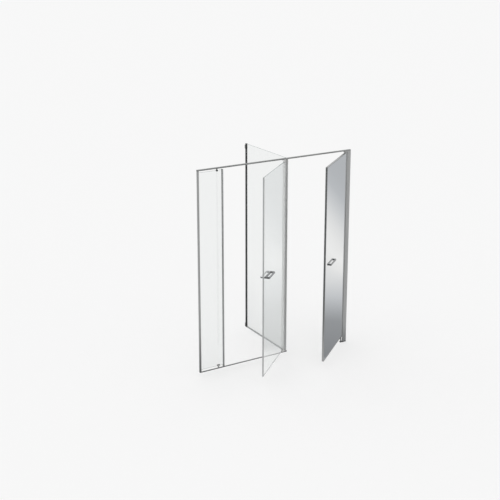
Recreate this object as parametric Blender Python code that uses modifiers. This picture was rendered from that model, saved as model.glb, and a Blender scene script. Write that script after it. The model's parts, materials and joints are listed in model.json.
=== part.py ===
"""Niche shower enclosure with two doors.

A front frame crosses the whole niche. Its left compartment is a shower, with a narrow fixed
glass panel and a clear glass door. Its right compartment is a utility niche behind a framed
mirror door. A glass separator runs from the middle post to the back wall between them.

X runs right along the front, Y into the niche, Z up. The origin is under the middle post, on
the shower tray. Both doors stand open, turned about empties on their pivot axes, and each
door's pieces are placed as on the closed door.
"""

import math

import bmesh
import bpy
from mathutils import Matrix, Vector

# Overall sizes, in metres
SHOWER_WIDTH = 0.970  # left wall to the middle post's centre line
CABINET_WIDTH = 0.750  # middle post's centre line to the right wall
NICHE_DEPTH = 0.765  # front plane to the back wall
FRAME_HEIGHT = 2.000  # tray to the top of the frame
TRAY_HEIGHT = 0.050  # tray above the floor that the right post stands on
FIXED_WIDTH = 0.261  # left wall to the closing profile's centre line
HANDLE_LEVEL = 1.000  # handle centres above the tray

# Door positions, in degrees from closed
SHOWER_OPENING_ANGLE = 41.0
CABINET_OPENING_ANGLE = 39.0

# Fits that every piece shares
GAP = 0.0003  # between pieces that touch or are fastened
OVERRUN = 0.003  # how far a cutter runs past the piece that it cuts
WELD = 0.00001  # merge distance for the caps of extruded outlines
SWING_GAP = 0.0022  # closed door's edge to its strike
RUNNING_GAP = 0.0010  # turning edge to a fixed face

# Glass and its bedding
GLASS = 0.008
GLASS_ARRIS = 0.0006
GASKET = 0.0015
EDGE_SEAT = GASKET + 2 * GAP  # glass edge to the floor of its groove
GROOVE = GLASS + 2 * EDGE_SEAT
SLOT = GLASS + 2 * GAP  # slot that grips bare glass

# Top rails and threshold
RAIL_DEPTH = 0.020
RAIL_HEIGHT = 0.012
RAIL_WALL = 0.0016
RAIL_RADIUS = 0.0015
RAIL_UNDERSIDE = FRAME_HEIGHT - RAIL_HEIGHT
THRESHOLD_HEIGHT = 0.008
THRESHOLD_CREST = 0.007  # width of the flat crest, at the room side
THRESHOLD_TOE = 0.0025  # height of the inner edge, where the ramp starts
THRESHOLD_WALL = 0.0013

# Middle post, its foot and the connector on its head
POST_WALL = 0.0028
POST = GROOVE + 2 * POST_WALL
POST_GROOVE = 0.0070
POST_CHAMBER_WALL = 0.0018
POST_RADIUS = 0.0012
FOOT_NOSE = 0.014  # how far the foot runs past the post
CONNECTOR_WIDTH = 0.024
CONNECTOR_NECK = 0.008
TONGUE = 0.018
GROOVE_FLOOR = POST / 2 - POST_GROOVE

# Wall channels
LEFT_CHANNEL_WALL = 0.0022
LEFT_CHANNEL_WEB = 0.0030
LEFT_CHANNEL_REACH = 0.016
BACK_CHANNEL_WALL = 0.0022
BACK_CHANNEL_WEB = 0.0025
BACK_CHANNEL_REACH = 0.022
CHANNEL_RADIUS = 0.0006

# Closing profile and its magnet strip
CLOSING_BITE = 0.0050
CLOSING_WEB = 0.0016
CLOSING_MAGNET_GROOVE = 0.0034
CLOSING_WALL = 0.0022
CLOSING_HEAD_CLEARANCE = 0.012
CLOSING_WIDTH = CLOSING_BITE + CLOSING_WEB + CLOSING_MAGNET_GROOVE
CLOSING_DEPTH = SLOT + 2 * CLOSING_WALL
MAGNET_FOOT = 0.0060
MAGNET_HEAD = 0.0090
MAGNET_PROUD = 0.0065
MAGNET_RADIUS = 0.0015

# Fixed glass and the two clamps near its free edge
FIXED_FOOT_CLEARANCE = 0.0195
FIXED_HEAD_CLEARANCE = 0.0155
CLAMP_SETBACK = 0.054  # clamp centre from the closing profile's centre
CLAMP_WALL = 0.0025
CLAMP_WEB = 0.0040
CLAMP_LOW_LENGTH = 0.031
CLAMP_LOW_BITE = 0.011
CLAMP_HIGH_LENGTH = 0.015
CLAMP_HIGH_BITE = 0.010
CLAMP_PIN_RADIUS = 0.0055
CLAMP_PIN_FLANGE_RADIUS = 0.0080
CLAMP_PIN_FLANGE = 0.0018

# Separator
SEPARATOR_SEAL_WALL = 0.0018
SEPARATOR_SEAL_BITE = 0.006
SEPARATOR_CHAMBER_WALL = 0.0014
CLIP_HEIGHT = 0.034
CLIP_DEPTH = 0.009
CLIP_PROUD = 0.005
CLIP_INSET = 0.013  # clip's end from the channel's end
CLIP_RADIUS = 0.0018

# Pivots that both doors share
PIVOT_BLOCK_HEIGHT = 0.0095
PIVOT_BLOCK_LENGTH = 0.038
PIVOT_BLOCK_DEPTH = 0.017
PIVOT_BLOCK_RADIUS = 0.0030
PIN_RADIUS = 0.0040
BUSH_WALL = 0.0018
BUSH_FLANGE = 0.0015
BUSH_FLANGE_LIP = 0.0022
PIN_SHORT = 0.0020  # pin and bush stop this far short of a block's far face
BUSH_BORE = PIN_RADIUS + GAP
BUSH_RADIUS = BUSH_BORE + BUSH_WALL
BUSH_HOUSING = BUSH_RADIUS + GAP

# Shower door
SHOWER_EDGE = 0.008  # glass beyond the pivot axis, toward the post
DOOR_CLAMP_LENGTH = 0.031
DOOR_CLAMP_WALL = 0.0032
DOOR_CLAMP_WEB = 0.0095
DOOR_CLAMP_BITE = 0.012
DOOR_CLAMP_RADIUS = 0.0022
SEAL_WALL = 0.0012
SEAL_BITE = 0.007
FIN_REACH = 0.0055
FIN_THICKNESS = 0.0014
EDGE_SEAL_HEAD = 0.0070
EDGE_SEAL_RADIUS = 0.0025
DRIP_LIP_DROP = 0.0125
DRIP_LIP_SPREAD = 0.0055
DRIP_LIP_THICKNESS = 0.0016

# Mirror door
MIRROR = 0.004
CORE = 0.0108
LEAF_WALL = 0.0016
LEAF_WEB = 0.0022
LEAF_FACE = 0.0065
LEAF_RADIUS = 0.0008
PANEL_PLAY = 0.0008  # panel edge to the floor of the frame's slot
CABINET_EDGE = 0.012  # leaf beyond the pivot axis, toward the post
CABINET_LIFT = 0.016  # leaf's lower edge above the tray
PLATE_LENGTH = 0.042
PLATE_TOP = 0.0040
PLATE_BOTTOM = 0.0065
PLATE_RADIUS = 0.0012
PIVOT_POST_RADIUS = 0.0065
LEAF_SLOT = MIRROR + CORE + 3 * GAP
LEAF = LEAF_SLOT + 2 * LEAF_WALL
STRIKE_PROUD = 0.0080
STRIKE_DEPTH = 0.0110
STRIKE_WALL = 0.0014
STRIKE_RADIUS = 0.0035

# Right wall channel, hinge post and foot
RIGHT_CHANNEL_WALL = 0.0020
RIGHT_CHANNEL_WEB = 0.0025
RIGHT_CHANNEL_REACH = 0.024
HINGE_POST_DEPTH = 0.018
HINGE_POST_SIGHT = 0.015  # how far the post shows past the channel
HINGE_POST_PLAY = 0.003
HINGE_POST_WALL = 0.0018
LIP_PROUD = 0.0035
LIP_THICKNESS = 0.0020
LIP_FOOT = 0.0030
LIP_FOOT_DEPTH = 0.0022
RIGHT_FOOT_HEIGHT = 0.010
RIGHT_CHANNEL_DEPTH = HINGE_POST_DEPTH + 2 * GAP + 2 * RIGHT_CHANNEL_WALL

# Handles
HANDLE_LENGTH = 0.178
HANDLE_PROUD = 0.042
HANDLE_HEIGHT = 0.016
HANDLE_BASE = 0.0065
HANDLE_BAR = 0.0100
HANDLE_LEG = 0.0160
HANDLE_RADIUS = 0.0060
HANDLE_INNER_RADIUS = 0.0030
HANDLE_EDGE = 0.0012
SHOWER_HANDLE_INSET = 0.057  # handle's end from the door's free edge
CABINET_HANDLE_INSET = 0.062
BOLT_RADIUS = 0.0025
BOLT_HEAD_RADIUS = 0.0048
BOLT_HEAD = 0.0020
BOLT_CLEARANCE = 0.0008  # round the shank in glass, mirror and board
BOLT_INSET = 0.028  # bolt from the handle's end
BOLT_BITE_SHARE = 0.7  # of the base bar, where the shank ends

# Places that follow from the sizes above
LEFT_WALL = -SHOWER_WIDTH
RIGHT_WALL = CABINET_WIDTH
CLOSING_X = LEFT_WALL + FIXED_WIDTH
MAGNET_FACE = CLOSING_X + CLOSING_WIDTH / 2 + GAP + MAGNET_PROUD
FOOT_HEIGHT = THRESHOLD_HEIGHT
POST_TOP = RAIL_UNDERSIDE - CONNECTOR_NECK - GAP
FLOOR = -TRAY_HEIGHT

FIN_TIP = SHOWER_EDGE + GAP + SEAL_WALL + FIN_REACH
SHOWER_AXIS = -(POST / 2 + RUNNING_GAP + FIN_TIP)
SHOWER_REACH = SHOWER_AXIS - MAGNET_FACE - SWING_GAP  # axis to the door's free edge
BLOCK_TOP = RAIL_UNDERSIDE - GAP
BLOCK_BOTTOM = BLOCK_TOP - PIVOT_BLOCK_HEIGHT
HEAD_BEARING = BLOCK_BOTTOM - 2 * GAP - BUSH_FLANGE  # top of what hangs in a head pivot
SILL_BLOCK_BOTTOM = THRESHOLD_HEIGHT + GAP
SILL_BLOCK_TOP = SILL_BLOCK_BOTTOM + PIVOT_BLOCK_HEIGHT
SILL_BEARING = SILL_BLOCK_TOP + 2 * GAP + BUSH_FLANGE
DOOR_GLASS_TOP = HEAD_BEARING - DOOR_CLAMP_WEB - GAP
DOOR_GLASS_BOTTOM = SILL_BEARING + DOOR_CLAMP_WEB + GAP
DOOR_GLASS_REACH = SHOWER_REACH - EDGE_SEAL_HEAD - GAP

HINGE_POST_FACE = RIGHT_WALL - RIGHT_CHANNEL_REACH - HINGE_POST_SIGHT
LEAF_CORNER = math.hypot(CABINET_EDGE, LEAF / 2)
CABINET_AXIS = HINGE_POST_FACE - LIP_PROUD - RUNNING_GAP - LEAF_CORNER
STRIKE_FACE = POST / 2 + GAP + STRIKE_PROUD
CABINET_REACH = CABINET_AXIS - STRIKE_FACE - SWING_GAP
LEAF_TOP = HEAD_BEARING - PLATE_TOP - GAP
LEAF_BOTTOM = CABINET_LIFT

# Directions
RIGHT, LEFT = (1, 0, 0), (-1, 0, 0)
BACK, FRONT = (0, 1, 0), (0, -1, 0)
UP, DOWN = (0, 0, 1), (0, 0, -1)

# Facets
ARC_STEPS = 3
ROUND_STEPS = 24
SHARP_ANGLE = math.radians(35)


def clear_scene():
    """Remove the scene's objects and make one collection for parts and one for cutters."""
    for obj in list(bpy.data.objects):
        bpy.data.objects.remove(obj, do_unlink=True)
    groups = []
    for name in ("niche_shower_door", "cutters"):
        group = bpy.data.collections.new(name)
        bpy.context.scene.collection.children.link(group)
        groups.append(group)
    return groups


PARTS, CUTTERS = clear_scene()


def finish(name, colour, roughness, metallic=0.0, transmission=0.0):
    """A Principled material with one even finish."""
    material = bpy.data.materials.new(name)
    material.use_nodes = True
    shader = material.node_tree.nodes["Principled BSDF"]
    shader.inputs["Base Color"].default_value = (*colour, 1.0)
    shader.inputs["Roughness"].default_value = roughness
    shader.inputs["Metallic"].default_value = metallic
    shader.inputs["Transmission Weight"].default_value = transmission
    material.diffuse_color = (*colour, 1.0)
    return material


SATIN = finish("satin_aluminium", (0.42, 0.42, 0.42), 0.32, metallic=1.0)
DARK = finish("dark_cast_metal", (0.075, 0.078, 0.078), 0.38, metallic=0.8)
CHROME = finish("polished_chrome", (0.50, 0.50, 0.51), 0.12, metallic=1.0)
CLEAR = finish("clear_glass", (0.90, 0.94, 0.93), 0.02, transmission=1.0)
SILVERED = finish("mirror_glass", (0.74, 0.77, 0.78), 0.03, metallic=1.0)
BOARD = finish("white_board", (0.80, 0.80, 0.78), 0.45)
SEAL = finish("clear_seal", (0.62, 0.64, 0.64), 0.30, transmission=0.4)
GREY_SEAL = finish("grey_seal", (0.30, 0.31, 0.31), 0.45)
RUBBER = finish("black_rubber", (0.03, 0.03, 0.03), 0.6)
ACETAL = finish("white_acetal", (0.78, 0.78, 0.76), 0.35)


def facing(opening, across):
    """Rotation that turns a section's x axis to opening and its y axis to across."""
    x, y = Vector(opening), Vector(across)
    return Matrix((x, y, x.cross(y))).transposed().to_euler()


def add(obj, material, parent=None, group=PARTS):
    """Put an object in its collection, under its parent, with its material."""
    group.objects.link(obj)
    obj.parent = parent
    if material is not None:
        obj.data.materials.append(material)
    return obj


def place(obj, at, turn=None):
    obj.location = at
    if turn is not None:
        obj.rotation_euler = turn
    return obj


def sharpen(mesh):
    """Shade round faces smooth and keep real edges sharp."""
    mesh.shade_smooth()
    mesh.set_sharp_from_angle(angle=SHARP_ANGLE)


def fillet(corners):
    """Round an outline's corners. Each corner is (x, y) or (x, y, radius)."""
    points = []
    for i, (x, y, *rest) in enumerate(corners):
        radius = rest[0] if rest else 0.0
        here = Vector((x, y))
        if radius <= 0.0:
            points.append((x, y))
            continue
        before = (Vector(corners[i - 1][:2]) - here).normalized()
        after = (Vector(corners[(i + 1) % len(corners)][:2]) - here).normalized()
        half = before.angle(after) / 2
        centre = here + (before + after).normalized() * (radius / math.sin(half))
        start = here + before * (radius / math.tan(half)) - centre
        end = here + after * (radius / math.tan(half)) - centre
        first = math.atan2(start.y, start.x)
        sweep = (math.atan2(end.y, end.x) - first + math.pi) % math.tau - math.pi
        for step in range(ARC_STEPS + 1):
            angle = first + sweep * step / ARC_STEPS
            points.append((centre.x + radius * math.cos(angle), centre.y + radius * math.sin(angle)))
    return points


def rectangle(x0, x1, y0, y1, radius=0.0):
    """Outline of a rectangle with rounded corners."""
    return fillet([(x0, y0, radius), (x1, y0, radius), (x1, y1, radius), (x0, y1, radius)])


def channel(reach, slot, wall, web, radius=0.0):
    """Outline of a channel: its back is on x = 0 and its slot opens toward +x."""
    inner, outer = slot / 2, slot / 2 + wall
    return fillet([(0, -outer, radius), (reach, -outer, radius), (reach, -inner), (web, -inner),
                   (web, inner), (reach, inner), (reach, outer, radius), (0, outer, radius)])


def extrude(name, outlines, length, material, at, turn=None, parent=None, group=PARTS):
    """Extrude a section. The first outline is its outside and the others are its hollows."""
    curve = bpy.data.curves.new(name, "CURVE")
    curve.dimensions = "2D"
    curve.fill_mode = "BOTH"
    curve.extrude = length / 2
    for outline in outlines:
        spline = curve.splines.new("POLY")
        spline.points.add(len(outline) - 1)
        for point, (x, y) in zip(spline.points, outline):
            point.co = (x, y, 0.0, 1.0)
        spline.use_cyclic_u = True
    return place(add(bpy.data.objects.new(name, curve), material, parent, group), at, turn)


def solid(obj):
    """Turn an object into a plain welded mesh, so that it can be bevelled, cut or joined."""
    name, data, group = obj.name, obj.data, obj.users_collection[0]
    graph = bpy.context.evaluated_depsgraph_get()
    mesh = bpy.data.meshes.new_from_object(obj.evaluated_get(graph))
    work = bmesh.new()
    work.from_mesh(mesh)
    bmesh.ops.remove_doubles(work, verts=work.verts, dist=WELD)
    work.to_mesh(mesh)
    work.free()
    sharpen(mesh)
    made = bpy.data.objects.new(name, mesh)
    made.parent, made.location, made.rotation_euler = obj.parent, obj.location, obj.rotation_euler
    group.objects.link(made)
    bpy.data.objects.remove(obj, do_unlink=True)
    store = bpy.data.curves if isinstance(data, bpy.types.Curve) else bpy.data.meshes
    store.remove(data)
    made.name = name
    return made


def box(name, low, high, material, parent=None, group=PARTS):
    """A box between two corners."""
    low, high = Vector(low), Vector(high)
    mesh = bpy.data.meshes.new(name)
    work = bmesh.new()
    bmesh.ops.create_cube(work, size=1.0, matrix=Matrix.Diagonal((*(high - low), 1.0)))
    work.to_mesh(mesh)
    work.free()
    return place(add(bpy.data.objects.new(name, mesh), material, parent, group), (low + high) / 2)


def cylinder(name, radius, length, at, turn=None, parent=None, material=None, group=None):
    """A cylinder along its own z axis, a cutter unless a collection is given."""
    mesh = bpy.data.meshes.new(name)
    work = bmesh.new()
    bmesh.ops.create_cone(work, cap_ends=True, segments=ROUND_STEPS, radius1=radius,
                          radius2=radius, depth=length)
    work.to_mesh(mesh)
    work.free()
    sharpen(mesh)
    obj = bpy.data.objects.new(name, mesh)
    return place(add(obj, material, parent, group or CUTTERS), at, turn)


def turned(name, profile, material, at, turn=None, parent=None, closed=False):
    """Turn a profile of (radius, height) points about z. Its outer side runs downward."""
    mesh = bpy.data.meshes.new(name)
    work = bmesh.new()
    points = [work.verts.new((radius, 0.0, height)) for radius, height in profile]
    for first, second in zip(points, points[1:] + points[:1] if closed else points[1:]):
        work.edges.new((first, second))
    work.to_mesh(mesh)
    work.free()
    obj = place(add(bpy.data.objects.new(name, mesh), material, parent), at, turn)
    screw = obj.modifiers.new("turn", "SCREW")
    screw.steps = screw.render_steps = ROUND_STEPS
    screw.use_merge_vertices = True
    screw.merge_threshold = WELD
    return solid(obj)


def soften(obj, width, segments=2):
    """Round an object's real edges."""
    bevel = obj.modifiers.new("soften", "BEVEL")
    bevel.width = width
    bevel.segments = segments
    bevel.limit_method = "ANGLE"
    bevel.angle_limit = SHARP_ANGLE
    return obj


def combine(obj, tool, operation):
    """Cut, join or keep with another object, which becomes a hidden tool."""
    boolean = obj.modifiers.new(tool.name, "BOOLEAN")
    boolean.operation = operation
    boolean.object = tool
    boolean.solver = "EXACT"
    tool.hide_render = True
    tool.display_type = "WIRE"
    return obj


def cut(obj, *tools):
    for tool in tools:
        combine(obj, tool, "DIFFERENCE")
    return obj


def join(obj, *tools):
    for tool in tools:
        combine(obj, tool, "UNION")
    return obj


def hinge(name, x, angle):
    """An empty on a door's pivot axis, turned by the door's opening angle."""
    empty = bpy.data.objects.new(name, None)
    PARTS.objects.link(empty)
    empty.location = (x, 0, 0)
    empty.rotation_euler = (0, 0, math.radians(angle))
    return empty


def pane(name, low, high, material, parent=None):
    """A sheet of glass or board with a fine arris on its edges."""
    return soften(box(name, low, high, material, parent), GLASS_ARRIS, segments=1)


def gasket(name, groove_reach, bottom, top, at, turn):
    """A rubber U that lines a groove and grips the glass edge in it."""
    section = channel(groove_reach - GAP, SLOT, GASKET, GASKET)
    x, y = at
    return extrude(name, [section], top - bottom, RUBBER, (x, y, (bottom + top) / 2), turn)


def left_wall_channel():
    reach = LEFT_CHANNEL_REACH
    section = channel(reach, GROOVE, LEFT_CHANNEL_WALL, LEFT_CHANNEL_WEB, CHANNEL_RADIUS)
    height = RAIL_UNDERSIDE - GAP
    extrude("left_wall_channel", [section], height, SATIN, (LEFT_WALL, 0, height / 2))
    gasket("fixed_glass_gasket", reach - LEFT_CHANNEL_WEB, 0, height,
           (LEFT_WALL + LEFT_CHANNEL_WEB + GAP, 0), None)


def fixed_glass():
    left = LEFT_WALL + LEFT_CHANNEL_WEB + EDGE_SEAT
    right = CLOSING_X - CLOSING_WIDTH / 2 + CLOSING_BITE - GAP
    bottom = THRESHOLD_HEIGHT + FIXED_FOOT_CLEARANCE
    top = RAIL_UNDERSIDE - FIXED_HEAD_CLEARANCE
    pane("fixed_glass", (left, -GLASS / 2, bottom), (right, GLASS / 2, top), CLEAR)


def closing_profile():
    """An aluminium H: glass in its left groove, the magnet strip's foot in its right one."""
    side, slot, foot = CLOSING_DEPTH / 2, SLOT / 2, MAGNET_FOOT / 2 + GAP
    left, right = -CLOSING_WIDTH / 2, CLOSING_WIDTH / 2
    glass_floor = left + CLOSING_BITE
    magnet_floor = right - CLOSING_MAGNET_GROOVE
    round_edge = CHANNEL_RADIUS
    section = fillet([(left, slot), (left, side, round_edge), (right, side, round_edge),
                      (right, foot), (magnet_floor, foot), (magnet_floor, -foot), (right, -foot),
                      (right, -side, round_edge), (left, -side, round_edge), (left, -slot),
                      (glass_floor, -slot), (glass_floor, slot)])
    bottom = THRESHOLD_HEIGHT + GAP
    top = RAIL_UNDERSIDE - CLOSING_HEAD_CLEARANCE
    middle = (CLOSING_X, 0, (bottom + top) / 2)
    extrude("closing_profile", [section], top - bottom, SATIN, middle)

    neck, head = MAGNET_FOOT / 2, MAGNET_HEAD / 2
    start, face = right + GAP, right + GAP + MAGNET_PROUD
    strip = fillet([(magnet_floor + GAP, -neck), (start, -neck), (start, -head),
                    (face, -head, MAGNET_RADIUS), (face, head, MAGNET_RADIUS), (start, head),
                    (start, neck), (magnet_floor + GAP, neck)])
    extrude("closing_magnet_strip", [strip], top - bottom, GREY_SEAL, middle)


def fixed_clamp(level, length, bite, edge, seat, opening):
    """A clamp on the fixed glass and the pin that ties it to a rail."""
    sign = opening[2]
    x = CLOSING_X - CLAMP_SETBACK
    back = edge - sign * (GAP + CLAMP_WEB)
    section = channel(CLAMP_WEB + bite, SLOT, CLAMP_WALL, CLAMP_WEB, CHANNEL_RADIUS)
    extrude("fixed_clamp_" + level, [section], length, DARK, (x, 0, back),
            facing(opening, BACK))
    height = abs(back - seat) - 2 * GAP
    flange, shank = CLAMP_PIN_FLANGE_RADIUS, CLAMP_PIN_RADIUS
    profile = [(0, height), (shank, height), (shank, CLAMP_PIN_FLANGE),
               (flange, CLAMP_PIN_FLANGE), (flange, 0), (0, 0)]
    if sign < 0:
        profile = [(radius, height - z) for radius, z in reversed(profile)]
    turned("fixed_clamp_pin_" + level, profile, DARK, (x, 0, min(back, seat) + GAP))


def fixed_clamps():
    fixed_clamp("bottom", CLAMP_LOW_LENGTH, CLAMP_LOW_BITE,
                THRESHOLD_HEIGHT + FIXED_FOOT_CLEARANCE, THRESHOLD_HEIGHT, UP)
    fixed_clamp("top", CLAMP_HIGH_LENGTH, CLAMP_HIGH_BITE,
                RAIL_UNDERSIDE - FIXED_HEAD_CLEARANCE, RAIL_UNDERSIDE, DOWN)


def top_rails():
    """Two hollow rails that meet at the middle post's connector."""
    half = RAIL_DEPTH / 2
    outside = rectangle(0, RAIL_HEIGHT, -half, half, RAIL_RADIUS)
    hollow = rectangle(RAIL_WALL, RAIL_HEIGHT - RAIL_WALL, -half + RAIL_WALL, half - RAIL_WALL)
    joint = CONNECTOR_WIDTH / 2 + GAP
    for name, start, end in (("top_rail_shower", LEFT_WALL, -joint),
                             ("top_rail_cabinet", joint, RIGHT_WALL)):
        extrude(name, [outside, hollow], end - start, SATIN,
                ((start + end) / 2, 0, RAIL_UNDERSIDE), facing(UP, BACK))


def threshold():
    """A low hollow sill: flat crest at the room side, then a ramp down to the tray."""
    half, wall = RAIL_DEPTH / 2, THRESHOLD_WALL
    crest = -half + THRESHOLD_CREST
    fall = (THRESHOLD_HEIGHT - THRESHOLD_TOE) / (half - crest)
    outside = fillet([(0, -half), (THRESHOLD_HEIGHT, -half, RAIL_RADIUS),
                      (THRESHOLD_HEIGHT, crest), (THRESHOLD_TOE, half), (0, half)])
    ceiling = THRESHOLD_HEIGHT - wall
    inner_toe = crest + (ceiling - 2 * wall) / fall
    hollow = [(wall, -half + wall), (ceiling, -half + wall), (ceiling, crest - wall / 2),
              (2 * wall, inner_toe - wall), (wall, inner_toe - wall)]
    start = LEFT_WALL + LEFT_CHANNEL_REACH + GAP
    end = -POST / 2 - GAP
    extrude("threshold_rail", [outside, hollow], end - start, SATIN,
            ((start + end) / 2, 0, 0), facing(UP, BACK))


def foot(name, flat_end, nose_centre, depth, bottom, height):
    """A flat bar with one square end and one round nose."""
    side = math.copysign(1.0, nose_centre - flat_end)
    steps = 4 * ARC_STEPS
    outline = [(flat_end, depth / 2), (flat_end, -depth / 2)]
    for step in range(steps + 1):
        angle = math.pi * step / steps - math.pi / 2
        outline.append((nose_centre + side * depth / 2 * math.cos(angle),
                        depth / 2 * math.sin(angle)))
    return extrude(name, [outline], height, DARK, (0, 0, bottom + height / 2))


def middle_post():
    """A post with a closed chamber in front and the separator's groove behind."""
    chamber = (POST_CHAMBER_WALL, POST - POST_GROOVE - POST_CHAMBER_WALL,
               -POST / 2 + POST_CHAMBER_WALL, POST / 2 - POST_CHAMBER_WALL)
    section = channel(POST, GROOVE, POST_WALL, POST - POST_GROOVE, POST_RADIUS)
    bottom = FOOT_HEIGHT + GAP
    turn = facing(BACK, LEFT)
    extrude("mid_post", [section, rectangle(*chamber)], POST_TOP - bottom, SATIN,
            (0, -POST / 2, (bottom + POST_TOP) / 2), turn)
    foot("mid_post_foot", -POST / 2, FOOT_NOSE, POST, 0, FOOT_HEIGHT)
    gasket("separator_front_gasket", POST_GROOVE, bottom, POST_TOP, (0, GROOVE_FLOOR + GAP), turn)


def post_connector():
    """The casting on the middle post: tongues in both rails and in the post's chamber."""
    half, rail = CONNECTOR_WIDTH / 2, RAIL_DEPTH / 2
    inset = RAIL_WALL + GAP
    head = box("mid_post_connector", (-half, -rail, RAIL_UNDERSIDE), (half, rail, FRAME_HEIGHT),
               SATIN)
    neck = box("connector_neck", (-POST / 2, -POST / 2, POST_TOP + GAP),
               (POST / 2, POST / 2, RAIL_UNDERSIDE + RAIL_WALL), None, group=CUTTERS)
    tongues = box("connector_tongues", (-half - TONGUE, -rail + inset, RAIL_UNDERSIDE + inset),
                  (half + TONGUE, rail - inset, FRAME_HEIGHT - inset), None, group=CUTTERS)
    side = POST / 2 - POST_CHAMBER_WALL - GAP
    stem = box("connector_stem", (-side, -side, POST_TOP - TONGUE),
               (side, GROOVE_FLOOR - POST_CHAMBER_WALL - GAP, RAIL_UNDERSIDE + RAIL_WALL), None,
               group=CUTTERS)
    slot = box("connector_slot", (-SLOT / 2, GROOVE_FLOOR + EDGE_SEAT - GAP, POST_TOP - OVERRUN),
               (SLOT / 2, rail + OVERRUN, FRAME_HEIGHT + OVERRUN), None, group=CUTTERS)
    cut(join(head, neck, tongues, stem), slot)


def separator():
    floor_level = FOOT_HEIGHT
    channel_front = NICHE_DEPTH - BACK_CHANNEL_REACH
    pane("separator_glass", (-GLASS / 2, GROOVE_FLOOR + EDGE_SEAT, floor_level + GAP),
         (GLASS / 2, NICHE_DEPTH - BACK_CHANNEL_WEB - EDGE_SEAT, FRAME_HEIGHT), CLEAR)

    section = channel(BACK_CHANNEL_REACH, GROOVE, BACK_CHANNEL_WALL, BACK_CHANNEL_WEB,
                      CHANNEL_RADIUS)
    turn = facing(FRONT, RIGHT)
    extrude("separator_wall_channel", [section], FRAME_HEIGHT, DARK,
            (0, NICHE_DEPTH, FRAME_HEIGHT / 2), turn)
    gasket("separator_rear_gasket", BACK_CHANNEL_REACH - BACK_CHANNEL_WEB, 0, FRAME_HEIGHT,
           (0, NICHE_DEPTH - BACK_CHANNEL_WEB - GAP), turn)

    start, end = POST / 2 + GAP, channel_front - GAP
    wall = SEPARATOR_CHAMBER_WALL
    seal = channel(floor_level + SEPARATOR_SEAL_BITE, SLOT, SEPARATOR_SEAL_WALL, floor_level)
    hollow = rectangle(wall, floor_level - wall, -SLOT / 2, SLOT / 2)
    extrude("separator_bottom_seal", [seal, hollow], end - start, GREY_SEAL,
            (0, (start + end) / 2, 0), facing(UP, RIGHT))

    face = -GROOVE / 2 - BACK_CHANNEL_WALL - GAP
    middle = NICHE_DEPTH - BACK_CHANNEL_REACH / 2
    for name, bottom in (("separator_clip_bottom", CLIP_INSET),
                         ("separator_clip_top", FRAME_HEIGHT - CLIP_INSET - CLIP_HEIGHT)):
        soften(box(name, (face - CLIP_PROUD, middle - CLIP_DEPTH / 2, bottom),
                   (face, middle + CLIP_DEPTH / 2, bottom + CLIP_HEIGHT), DARK), CLIP_RADIUS)


def strike_seal():
    """A hollow bulb on the middle post, which the closed mirror door meets."""
    half, wall = STRIKE_DEPTH / 2, STRIKE_WALL
    outside = fillet([(0, -half), (STRIKE_PROUD, -half, STRIKE_RADIUS),
                      (STRIKE_PROUD, half, STRIKE_RADIUS), (0, half)])
    hollow = rectangle(wall, STRIKE_PROUD - wall, -half + 2 * wall, half - 2 * wall)
    bottom = FOOT_HEIGHT + GAP
    extrude("cabinet_strike_seal", [outside, hollow], POST_TOP - bottom, SEAL,
            (POST / 2 + GAP, 0, (bottom + POST_TOP) / 2))


def pivot_block(name, start, end, axis, bottom, material):
    """A bored block that carries a bush."""
    outline = rectangle(start, end, -PIVOT_BLOCK_DEPTH / 2, PIVOT_BLOCK_DEPTH / 2,
                        PIVOT_BLOCK_RADIUS)
    bore = [(axis + BUSH_HOUSING * math.cos(math.tau * step / ROUND_STEPS),
             BUSH_HOUSING * math.sin(math.tau * step / ROUND_STEPS))
            for step in range(ROUND_STEPS)]
    return extrude(name, [outline, bore], PIVOT_BLOCK_HEIGHT, material,
                   (0, 0, bottom + PIVOT_BLOCK_HEIGHT / 2))


def bush(name, x, flange_face, side, sleeve, parent=None):
    """A flanged bush. Side is 1 with its sleeve above the flange and -1 below it."""
    lip = BUSH_RADIUS + BUSH_FLANGE_LIP
    shoulder, end = BUSH_FLANGE, BUSH_FLANGE + sleeve
    profile = [(BUSH_RADIUS, end), (BUSH_RADIUS, shoulder), (lip, shoulder), (lip, 0),
               (BUSH_BORE, 0), (BUSH_BORE, end)]
    if side < 0:
        profile = [(radius, -z) for radius, z in reversed(profile)]
    return turned(name, profile, ACETAL, (x, 0, flange_face), parent=parent, closed=True)


def fixed_pivots():
    """Blocks and bushes under the top rails and on the threshold."""
    sleeve = PIVOT_BLOCK_HEIGHT - PIN_SHORT
    near = -POST / 2 - GAP
    for level, bottom, flange_face, side in (
            ("top", BLOCK_BOTTOM, BLOCK_BOTTOM - GAP - BUSH_FLANGE, 1),
            ("bottom", SILL_BLOCK_BOTTOM, SILL_BLOCK_TOP + GAP + BUSH_FLANGE, -1)):
        pivot_block("shower_pivot_block_" + level, near - PIVOT_BLOCK_LENGTH, near, SHOWER_AXIS,
                    bottom, SATIN)
        bush("shower_bush_" + level, SHOWER_AXIS, flange_face, side, sleeve)
    near = HINGE_POST_FACE - GAP
    pivot_block("cabinet_pivot_block_top", near - PIVOT_BLOCK_LENGTH, near, CABINET_AXIS,
                BLOCK_BOTTOM, DARK)
    bush("cabinet_bush_top", CABINET_AXIS, BLOCK_BOTTOM - GAP - BUSH_FLANGE, 1, sleeve)


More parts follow.
